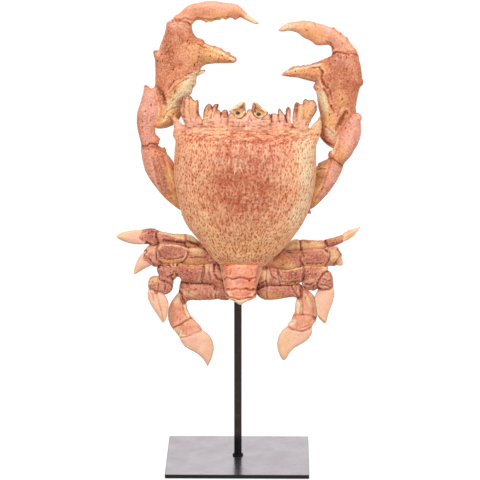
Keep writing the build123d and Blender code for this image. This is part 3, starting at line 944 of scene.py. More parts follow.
@dataclass(frozen=True)
class Hand:
    """How uneven the strokes and daubs are, with the sizes of their wandering in millimetres."""

    stroke_wander: float = 0.4
    stroke_wander_size: float = 3.0
    stroke_seed: int = 77
    lip_place: float = 2.2
    lip_height: float = 0.3
    lip_tone: float = 0.25
    daub_wander: float = 0.22
    daub_wander_size: float = 5.0
    daub_fringe: float = 0.1
    daub_fringe_size: float = 1.8
    daub_seed: int = 31
    daub_edge: Span = (0.4, 1.2)


ROUGH = Grain()
FINE = Grain(swell=0.25, bead_size=1.8, bead=0.2, pit=0.2, pit_share=0.2, tone=0.6)
SMOOTH = Grain(swell=0.2, bead=0.06, pit=0.08, pit_share=0.06, pit_stretch=4.0, tone=0.3)
KNOBBLY = Grain(swell_size=5.0, swell=0.45, bead_size=2.0, bead=0.35, pit=0.3, pit_share=0.3, pit_stretch=1.4)
SHELL_FINE = Grain(7.0, 0.3, 2.1, 0.2, pit_size=2.4, pit=0.0, pit_share=0.0, pit_stretch=1.0, tone=0.6)
SHELL_SWELL = Grain(22.0, 0.5, 2.6, 0.1, pit_size=2.4, pit=0.0, pit_share=0.0, pit_stretch=1.0, tone=0.3)
FLANK = Grain(12.0, 0.5, 2.6, 0.35, pit_size=3.0, pit=0.3, pit_share=0.3, pit_stretch=2.0, tone=0.6)
RIPPLE_STRETCH = (5.5, 4.0, 1.5)
RIPPLE_SEED = 51


class Relief:
    """The points of one mesh, with the height and the masks that are worked onto them."""

    MASKS = ("tone", "rose", "ochre", "cream", "umber")
    FRONT_START = 0.2
    FRONT_SPAN = 0.4
    HAND = Hand()
    CRACK = Crack()

    def __init__(self, work: bpy.types.Object) -> None:
        """Read a mesh's points and normals."""
        self.work = work
        self.points = Bench.positions(work)
        flat = np.empty(self.points.size)
        work.data.vertices.foreach_get("normal", flat)
        self.normals = flat.reshape(-1, 3)
        self.pixels = PHOTO.pixels(self.points)
        self.height = np.zeros(len(self.points))
        self.masks = {name: np.zeros(len(self.points)) for name in self.MASKS}
        self.front = np.clip((-self.normals[:, 1] + self.FRONT_START) / self.FRONT_SPAN, 0, 1)

    def long_axis(self) -> np.ndarray:
        """Return the direction in which the piece is longest."""
        spread = self.points - self.points.mean(0)
        _, vectors = np.linalg.eigh(spread.T @ spread)
        return vectors[:, -1]

    def rub(self, amount: np.ndarray) -> None:
        """Add to the tone: less is in a hollow, more is on a crest."""
        self.masks["tone"] += amount

    def lay(self, paint_name: str, share: np.ndarray) -> None:
        """Add to one of the paints."""
        mask = self.masks[paint_name]
        self.masks[paint_name] = mask + share * (1 - mask)

    def grain(self, grain: Grain, seed: int, where: np.ndarray | float = 1.0) -> None:
        """Work swells, beads and stretched pits into the surface.

        Args:
            grain: How rough it is.
            seed: Which of many patterns.
            where: How much of it each point takes.
        """
        swell = Scatter.layered(self.points, grain.swell_size, grain.swell_size / 2, seed)
        distance, mark = Scatter.nearest(self.points, grain.bead_size, seed + 2)
        bead = (1 - smooth_step(distance, *grain.bead_edge)) * (0.4 + 0.6 * mark)
        axis = self.long_axis()
        squeezed = self.points - np.outer(self.points @ axis * (1 - 1 / grain.pit_stretch), axis)
        distance, mark = Scatter.nearest(squeezed, grain.pit_size, seed + 5)
        pit = (1 - smooth_step(distance, *grain.pit_edge)) * (mark < grain.pit_share)
        beads = grain.bead * (bead - grain.bead_level)
        self.height += where * (grain.swell * swell + beads - grain.pit * pit)
        self.rub(where * grain.tone * (0.35 * swell + 0.8 * (bead - 0.3) - 1.5 * pit))

    def stroke(self, stroke: Stroke) -> None:
        """Cut a crease or raise a ridge on the side that faces the viewer."""
        hand = self.HAND
        wobble = hand.stroke_wander * Scatter.noise(self.points, hand.stroke_wander_size, hand.stroke_seed)
        distance = np.clip(distance_to(self.pixels, lines_of(stroke.path)) + wobble, 0, None)
        share = np.exp(-((distance / stroke.width) ** 2)) * self.front
        self.height -= stroke.depth * share
        self.rub(-math.copysign(stroke.tone, stroke.depth) * share)
        if stroke.paint_name:
            self.lay(stroke.paint_name, np.clip(1.3 * stroke.strength * share, 0, 1))
        if stroke.depth > 0:
            lip = np.exp(-(((distance - hand.lip_place * stroke.width) / stroke.width) ** 2)) * self.front
            self.height += hand.lip_height * stroke.depth * lip
            self.rub(hand.lip_tone * lip)

    def daub(self, daub: Daub) -> None:
        """Lay a soft patch of paint on the side that faces the viewer."""
        hand = self.HAND
        away = self.pixels - np.array(daub.centre)
        turn = math.radians(daub.heading)
        along = away[:, 0] * math.cos(turn) - away[:, 1] * math.sin(turn)
        across = away[:, 0] * math.sin(turn) + away[:, 1] * math.cos(turn)
        radius = np.hypot(along / daub.stretch, across) / daub.radius
        wander = hand.daub_wander * Scatter.noise(self.points, hand.daub_wander_size, hand.daub_seed)
        fringe = hand.daub_fringe * Scatter.noise(self.points, hand.daub_fringe_size, hand.daub_seed + 1)
        radius += wander + fringe
        share = daub.strength * (1 - smooth_step(radius, *hand.daub_edge)) * (0.25 + 0.75 * self.front)
        self.lay(daub.paint_name, share)

    def dress(self, strokes: tuple[Stroke, ...], daubs: tuple[Daub, ...]) -> None:
        """Work all strokes and then all daubs, and finish."""
        for stroke in strokes:
            self.stroke(stroke)
        for daub in daubs:
            self.daub(daub)
        self.finish()

    def crack(self, lines: list[Pixels], outline: Pixels) -> None:
        """Sink and darken the surface at the lines where another segment begins.

        Args:
            lines: The lines that are shared with the other segment.
            outline: This segment's own outline, beyond which it dives under the other.
        """
        if not lines:
            return
        crack = self.CRACK
        distance = distance_to(self.pixels, lines)
        broken = np.clip(0.75 + 0.6 * Scatter.noise(self.points, crack.patch_size, crack.seed), 0.15, 1.2)
        beyond = ~is_inside(self.pixels, outline) & (distance < crack.dive_reach)
        crease = np.exp(-((distance / crack.width) ** 2))
        lip = np.exp(-((distance - crack.lip_place) ** 2)) * ~beyond
        facing = smooth_step(np.abs(self.normals[:, 1]), *crack.facing)
        sunk = crack.depth * crease * (0.5 + 0.5 * broken)
        self.height += facing * (crack.lip_height * lip - sunk - crack.dive * beyond)
        self.rub(crack.lip_tone * lip - crack.tone * broken * crease)

    def finish(self) -> None:
        """Move the mesh's points by the height, and leave the masks on it."""
        Bench.move_to(self.work, self.points + self.normals * self.height[:, None])
        for name, mask in self.masks.items():
            attribute = self.work.data.attributes.new(name, "FLOAT", "POINT")
            attribute.data.foreach_set("value", np.clip(mask, -1, 1).astype(np.float32))


# Pieces drawn by their outlines


@dataclass(frozen=True)
class Slab:
    """A cast body drawn by its outline on the photograph, rounded by its distance from the edge.

    The middle and the half thickness are in millimetres. Lines that are shared with a
    neighbour aren't rounded, and the body reaches a little past them.
    """

    outline: Pixels
    middle: float
    half: float
    rim: float = 0.8
    voxel: float = 0.5
    overlap: float = 1.5
    shared_within: float = 1.0
    sharp_cosine: float = -0.2
    corner_cut: float = 0.25
    pixel_mm: float = 1.03
    fullest_at: float = 1.2
    late_swell: float = 0.004
    late_reach: float = 12.0
    side_share: float = 0.6

    def lines(self) -> list[Pixels]:
        """Return the closed outline's lines."""
        return lines_of(self.outline + self.outline[:1])

    def shared_with(self, others: list[Pixels]) -> list[bool]:
        """Return which of the outline's lines run along another outline.

        Args:
            others: The other outlines' lines.

        Returns:
            Whether each line is shared.
        """
        if not others:
            return [False] * len(self.outline)
        points = [[np.array(a) * (1 - t) + np.array(b) * t for t in (0.1, 0.5, 0.9)] for a, b in self.lines()]
        near = distance_to(np.array(points).reshape(-1, 2), others).reshape(-1, 3)
        return [bool(row.max() < self.shared_within) for row in near]

    def grown(self, shared: list[bool]) -> Pixels:
        """Return the outline with its shared lines moved outward."""
        points = np.array(self.outline)
        following = np.roll(points, -1, axis=0)
        area = np.sum(points[:, 0] * following[:, 1] - points[:, 1] * following[:, 0])
        push = np.zeros_like(points)
        count = np.zeros(len(points))
        for index, is_shared in enumerate(shared):
            if is_shared:
                along = following[index] - points[index]
                along /= np.linalg.norm(along)
                outward = np.array((along[1], -along[0])) * np.sign(area)
                for end in (index, (index + 1) % len(points)):
                    push[end] += outward
                    count[end] += 1
        moved = points + self.overlap * push / np.maximum(count, 1)[:, None]
        return tuple(map(tuple, moved))

    def softened(self, outline: Pixels) -> Pixels:
        """Return an outline with its blunt corners cut off once, and its sharp ones kept."""
        points = np.array(outline)
        made: list[Pixel] = []
        for before, here, after in zip(np.roll(points, 1, 0), points, np.roll(points, -1, 0)):
            a, b = before - here, after - here
            cosine = a @ b / max(np.linalg.norm(a) * np.linalg.norm(b), TINY)
            if cosine > self.sharp_cosine:
                made.append(tuple(here))
            else:
                made.extend((tuple(here + self.corner_cut * a), tuple(here + self.corner_cut * b)))
        return tuple(made)

    def build(self, name: str, shared: list[bool] | None = None) -> bpy.types.Object:
        """Build the body.

        Args:
            name: Its name.
            shared: Which of the outline's lines are shared with a neighbour.

        Returns:
            The new object, with an even mesh and no relief.
        """
        shared = shared or [False] * len(self.outline)
        drawn = self.softened(self.grown(shared))
        bpy.ops.object.select_all(action="DESELECT")
        bpy.ops.mesh.primitive_circle_add(vertices=len(drawn), radius=1, fill_type="NGON")
        work = Bench.named(name)
        places = [PHOTO.on_plane(pixel, self.middle) for pixel in drawn]
        Bench.move_to(work, np.array([(x, self.middle + self.rim, z) for x, z in places]))
        Bench.edit(work)
        bpy.ops.mesh.extrude_region_move(TRANSFORM_OT_translate={"value": (0, -2 * self.rim * MM, 0)})
        bpy.ops.mesh.select_all(action="SELECT")
        bpy.ops.mesh.normals_make_consistent(inside=False)
        Bench.close()
        Bench.modify(work, "REMESH", mode="VOXEL", voxel_size=self.voxel * MM)
        Bench.modify(work, "SMOOTH", factor=0.5, iterations=3)
        points = Bench.positions(work)
        flat = points.copy()
        flat[:, 1] = self.middle
        free = [line for line, is_shared in zip(self.lines(), shared) if not is_shared]
        distance = distance_to(PHOTO.pixels(flat), free) * self.pixel_mm
        reach = self.half * self.fullest_at
        round_share = np.sqrt(1 - (1 - np.clip(distance / reach, 0, 1)) ** 2)
        swell = round_share + self.late_swell * np.clip(distance - reach, 0, self.late_reach)
        side = np.clip((points[:, 1] - self.middle) / (self.side_share * self.rim), -1, 1)
        points[:, 1] = self.middle + side * (self.rim + (self.half - self.rim) * swell)
        Bench.move_to(work, points)
        Bench.modify(work, "SMOOTH", factor=0.5, iterations=3)
        return work


@dataclass(frozen=True)
class Segment:
    """One cast segment: its outline, the CAD node that it stands for, its surface and its paint."""

    name: str
    outline: Pixels
    finish: CastResin
    grain: Grain = FINE
    stands_for: bool = True
    like: str = ""
    lift: float = 0.0
    fullness: float = 1.0
    strokes: tuple[Stroke, ...] = ()
    daubs: tuple[Daub, ...] = ()

    @classmethod
    def drawn(
        cls,
        view: Enlargement,
        name: str,
        finish: CastResin,
        outline: str,
        daubs: str = "",
        strokes: str = "",
        **how: object,
    ) -> "Segment":
        """Return a segment that is drawn as text on one enlargement.

        Args:
            view: The enlargement.
            name: The segment's name.
            finish: Its paint.
            outline: Its outline's places.
            daubs: Its daubs' rows.
            strokes: Its strokes' rows.
            how: Any other field of the segment.

        Returns:
            The segment.
        """
        marks = {"daubs": view.daubs(daubs), "strokes": view.strokes(strokes)}
        return cls(name, view.path(outline), finish, **marks, **how)

    def slab(self) -> Slab:
        """Return the segment's body, as deep as its CAD node."""
        depths = [vertex.co.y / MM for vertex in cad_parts[self.like or self.name].data.vertices]
        low, high = min(depths), max(depths)
        return Slab(self.outline, (low + high) / 2 - self.lift, (high - low) / 2 * self.fullness)


class Casting:
    """A row of cast segments, joined one to the next."""

    SEED_STEP = 20
    SEED_GAP = 100

    def __init__(self, segments: tuple[Segment, ...], seed: int) -> None:
        """Keep the segments in order."""
        self.segments = segments
        self.seed = seed

    def build(self, paints: Paints) -> None:
        """Build every segment, with its cracks, relief and paint.

        Args:
            paints: The materials by name.
        """
        slabs = [segment.slab() for segment in self.segments]
        for index, (segment, slab) in enumerate(zip(self.segments, slabs)):
            beside = [slabs[k] for k in (index - 1, index + 1) if 0 <= k < len(slabs)]
            others = [line for neighbour in beside for line in neighbour.lines()]
            shared = slab.shared_with(others)
            work = slab.build(f"cast_{segment.name}", shared)
            relief = Relief(work)
            relief.grain(segment.grain, self.seed + self.SEED_STEP * index)
            seams = [line for line, is_shared in zip(slab.lines(), shared) if is_shared]
            relief.crack(seams, slab.outline)
            relief.dress(segment.strokes, segment.daubs)
            Bench.hand_over(work, paints, segment.finish, segment.name if segment.stands_for else None)


LEFT_CLAW = (
    Segment.drawn(
        LEFT_ARM_VIEW, "left_claw_arm", CLAW,
        "108,768 165,765 210,735 260,738 310,760 350,785 372,772 395,805 400,850 430,880 460,920 490,960 "
        "540,1050 575,1200 600,1350 615,1450 575,1510 520,1475 450,1420 380,1360 320,1290 250,1210 "
        "190,1120 150,1040 125,950 110,870 102,800",
        daubs="rose 180,1000 14 0.65 2.4 -62; umber 290,880 5 0.35 1.6 -65; "
        "umber 330,1060 6.5 0.75 2.6 -68; umber 390,1240 6 0.75 2 -62; ochre 440,1120 5.5 0.95 2.6 -70; "
        "ochre 500,1370 8 0.8 1.8 -50",
        strokes="235,900 262,1000 290,1130 340,1270: 1.2 0.8 0.25; "
        "350,880 395,1000 420,1100 470,1230: 1 0.6 0.3; 390,850 440,920 480,980: 1.4 -0.6 0.5",
    ),
    Segment.drawn(
        LEFT_ARM_VIEW, "left_claw_wrist", CLAW,
        "115,190 138,120 135,75 155,56 185,70 212,100 240,94 278,84 298,140 314,200 328,260 337,330 "
        "320,400 292,450 282,520 266,580 268,625 300,650 332,684 314,702 322,728 290,745 250,740 210,735 "
        "165,765 108,768 95,700 72,610 55,520 52,430 65,350 95,260",
        daubs="rose 190,330 13 0.95 2.2 85; rose 190,620 11 0.8 1.4 85; umber 160,66 2.5 0.8; "
        "umber 322,686 1.6 0.9",
        strokes="285,130 312,230 322,330 300,420 280,500: 1.1 -0.6 0.5 cream 0.7",
        lift=1.5,
    ),
    Segment.drawn(
        LEFT_CLAW_VIEW, "left_claw_palm", CLAW,
        "430,280 445,262 480,245 512,240 560,250 620,255 690,270 722,300 735,320 740,360 760,410 800,455 "
        "850,458 882,480 895,512 940,528 975,545 1010,543 1040,565 1085,575 1110,600 1150,620 1190,622 "
        "1196,658 1230,668 1265,690 1270,720 1240,745 1180,748 1100,748 1020,750 940,758 880,772 850,800 "
        "832,832 862,836 897,825 892,848 850,875 800,905 790,950 792,1000 765,1030 745,1060 742,1100 "
        "715,1125 690,1150 650,1180 620,1220 606,1270 620,1360 580,1440 505,1490 440,1515 370,1527 "
        "318,1526 290,1480 310,1380 320,1290 300,1180 285,1090 280,1050 300,1010 298,950 302,880 300,800 "
        "298,720 290,680 275,640 275,605 300,595 332,600 352,570 375,500 400,430 422,370 430,320",
        daubs="umber 520,480 13 0.42 1.5 70; umber 440,700 11 0.35 1.5 80; rose 560,300 8 0.5 1.8 0; "
        "rose 345,560 4 0.4 5 65; ochre 860,640 14 0.55 1.8 -20; ochre 1060,680 9 0.6 2.2 -20; "
        "cream 720,1000 9 0.9 2.4 48; ochre 620,1080 11 0.9 1.9 48; cream 560,1180 8 0.65 2.2 48; "
        "ochre 450,1400 14 0.9 1.4 30; umber 360,1080 4.5 0.9 1.6 -60; umber 395,1180 3.5 0.95 2 -72; "
        "umber 300,610 2.6 0.9; umber 888,830 1.6 0.9 1.6; umber 728,1090 1.6 0.6 1.6 60; "
        "umber 400,1480 3 0.3 2.6 10",
        strokes="330,1050 375,1100 410,1180 420,1250: 1.4 1.3 0.6; "
        "700,930 640,960 570,1000 520,1050 470,1110: 0.7 0.6 0.7; "
        "600,920 520,970 470,1040 440,1080: 0.6 0.4 0.6; 740,860 690,880 660,900: 0.6 0.4 0.8; "
        "790,890 815,860 830,845: 0.7 0.5 0.8; 620,1100 560,1150 500,1210 430,1290: 0.7 0.4 0.3; "
        "570,1270 500,1290 440,1330 390,1400: 0.7 0.6 0.6; 445,1370 480,1400 500,1440: 0.8 0.5 0.6; "
        "370,1450 420,1430 440,1370: 0.8 -0.5 0.4 cream 0.6; "
        "890,530 1000,590 1110,640 1230,710: 0.9 -0.7 0.6 cream 0.7; 810,520 860,550 900,560: 0.7 0.5 0.8;"
        " 440,300 400,430 360,560: 1.2 -0.4 0.3; 520,310 560,290 600,320 650,310 690,330: 0.8 -0.5 0.5",
        grain=ROUGH,
    ),
    Segment.drawn(
        LEFT_CLAW_VIEW, "left_claw_finger", FINGER,
        "512,240 518,205 535,180 575,168 608,138 640,105 680,72 740,46 810,36 880,20 950,13 1030,18 "
        "1100,28 1180,40 1260,48 1320,88 1372,138 1422,193 1482,235 1534,268 1524,287 1470,277 1410,252 "
        "1350,224 1310,207 1280,222 1250,243 1218,216 1188,208 1160,228 1128,238 1098,213 1072,240 "
        "1040,238 1010,240 965,260 935,250 908,270 880,250 845,236 800,236 770,250 745,285 722,300 690,270"
        " 620,255 560,250",
        daubs="rose 1000,70 6 0.5 5 -4; umber 800,150 9 0.2 2 20; ochre 1050,190 6 0.5 3 5; "
        "cream 1450,240 5 0.7 2.4 -38; umber 590,225 3.5 0.45 2.6 5",
        strokes="700,110 800,80 950,60 1100,70 1250,90 1350,160: 1.8 -0.5 0.3; "
        "540,225 600,235 660,215 720,240: 0.9 0.7 0.8; "
        "740,250 800,215 880,225 960,235 1060,215: 0.9 0.4 0.4",
    ),
)

RIGHT_CLAW = (
    Segment.drawn(
        RIGHT_ARM_VIEW, "right_claw_arm", CLAW,
        "120,1000 200,968 240,950 238,912 268,902 310,878 355,860 400,845 440,850 480,880 530,915 580,950 "
        "572,1000 542,1060 502,1140 452,1220 382,1310 302,1400 232,1470 182,1510 120,1535 60,1500 60,1300 "
        "90,1100",
        daubs="rose 450,1080 11 0.8 2 62; rose 300,1340 6 0.3 2 50; ochre 280,1000 8 0.9 1.4 60; "
        "umber 340,920 3.5 0.5 1.8 20; umber 280,1100 4.4 0.8 2.4 70; ochre 240,1230 6 0.9 2 70; "
        "ochre 190,1430 6 0.6 1.6 50",
        strokes="425,860 390,980 350,1100 300,1260 210,1400: 1 0.8 0.3; "
        "240,990 300,980 360,990: 0.8 0.5 0.5; 410,850 470,890 520,930: 1 -0.6 0.4",
    ),
    Segment.drawn(
        RIGHT_ARM_VIEW, "right_claw_wrist", CLAW,
        "600,300 640,258 680,224 720,208 762,224 812,238 838,275 838,312 817,332 822,400 827,480 812,570 "
        "782,650 742,720 702,790 652,850 602,905 578,950 530,915 480,880 440,850 400,845 375,800 383,760 "
        "410,740 440,728 466,660 478,600 478,530 496,460 534,400 570,345",
        daubs="rose 720,480 12 0.95 2.6 72; rose 690,280 8 0.7; ochre 560,800 7 0.5 1.6 60; "
        "umber 545,895 2.6 0.6 1.8 -35; umber 395,790 1.6 0.7 1.6 80",
        strokes="630,290 560,400 510,500 490,640 440,760: 1.5 -0.6 0.45 cream 0.75; "
        "760,330 730,480 690,600 640,720: 1 -0.3 0.3",
        lift=1.5,
    ),
    Segment.drawn(
        RIGHT_CLAW_VIEW, "right_claw_palm", CLAW,
        "660,480 690,462 705,442 740,425 800,432 850,445 890,448 930,440 985,460 1000,520 1020,590 "
        "1030,660 1036,720 1052,760 1042,792 1012,820 1000,860 982,920 968,980 962,1050 966,1110 930,1180 "
        "880,1260 820,1350 770,1430 735,1485 705,1500 650,1472 600,1432 572,1395 540,1340 548,1240 "
        "560,1180 560,1120 545,1060 530,980 524,900 508,850 483,828 488,790 508,775 495,760 430,742 "
        "380,728 300,708 220,702 160,692 124,682 150,660 190,633 218,613 250,590 290,585 318,578 345,590 "
        "372,568 398,578 420,562 450,565 480,548 520,543 560,525 610,503",
        daubs="umber 760,640 14 0.42 1.6 90; umber 700,860 7 0.3 1.8 -70; rose 820,520 9 0.45 1.4 0; "
        "ochre 430,640 9 0.5 2.6 8; cream 590,960 5 0.85 3.6 -72; ochre 640,1160 9 0.9 2 -60; "
        "cream 680,1340 6 0.5 1.6 -50; ochre 820,1000 8 0.4 1.8 -80; umber 800,1190 3 1 2.8 56; "
        "umber 850,1100 1.8 0.7 1.4 56; umber 580,650 2.6 0.55 2 -70; umber 600,770 2.6 0.5 2.2 -65; "
        "umber 650,1440 2 0.7 3 -38; umber 1042,768 2 0.8; umber 540,1030 1.6 0.8 2 -60",
        strokes="850,1100 800,1180 745,1290: 1.6 1.4 0.6; "
        "553,600 590,655 572,720 600,790 640,830: 0.9 0.9 0.8; "
        "600,830 640,920 660,1000 720,1100: 0.8 0.5 0.5; 640,780 680,880 690,960: 0.7 0.5 0.6; "
        "555,740 590,850 600,960 640,1080: 1.2 -0.5 0.4; 620,1260 670,1300 712,1340: 0.8 0.7 0.7; "
        "580,1390 640,1440 710,1480: 0.8 0.7 0.8; "
        "190,650 280,620 400,600 480,580 580,560: 0.9 -0.7 0.6 cream 0.7; "
        "440,590 500,600 560,590: 0.7 0.5 0.8; 300,690 400,705 500,740: 0.8 -0.4 0.3 rose 0.6; "
        "540,720 570,780 590,820: 0.8 -0.5 0.4",
        grain=ROUGH,
    ),
    Segment.drawn(
        RIGHT_CLAW_VIEW, "right_claw_finger", FINGER,
        "90,180 120,150 160,120 200,100 260,88 330,83 370,72 420,85 450,78 492,92 550,108 610,125 660,148 "
        "697,150 714,142 732,165 770,193 795,205 812,225 840,255 870,260 882,300 922,350 962,395 987,440 "
        "985,460 930,440 890,448 850,445 800,432 740,425 705,442 690,420 690,380 672,350 640,345 590,350 "
        "530,354 495,337 468,308 430,287 390,272 350,242 310,207 270,195 240,190 200,185 150,198 110,197",
        daubs="rose 700,230 5 0.6 4.5 -42; rose 450,120 4 0.4 3 -12; umber 760,350 8 0.22 1.6 -45; "
        "ochre 450,210 8 0.5 2.4 -20; cream 190,145 6 0.6 1.6 20; umber 660,325 2.4 0.6 1.8 -30; "
        "umber 700,390 1.8 0.6 1.6 -80; umber 435,88 1.3 0.9; umber 490,95 1.3 0.9; umber 714,152 1.3 0.9;"
        " umber 795,212 1.3 0.9; umber 860,270 1.3 0.9",
        strokes="300,110 450,120 600,150 720,220 840,320 930,420: 1.6 -0.6 0.4; "
        "205,130 208,165: 0.5 0.4 0.9; 860,425 910,425 940,410 970,440: 0.8 0.7 0.8; "
        "620,300 680,330 710,390: 0.8 0.6 0.6",
    ),
)
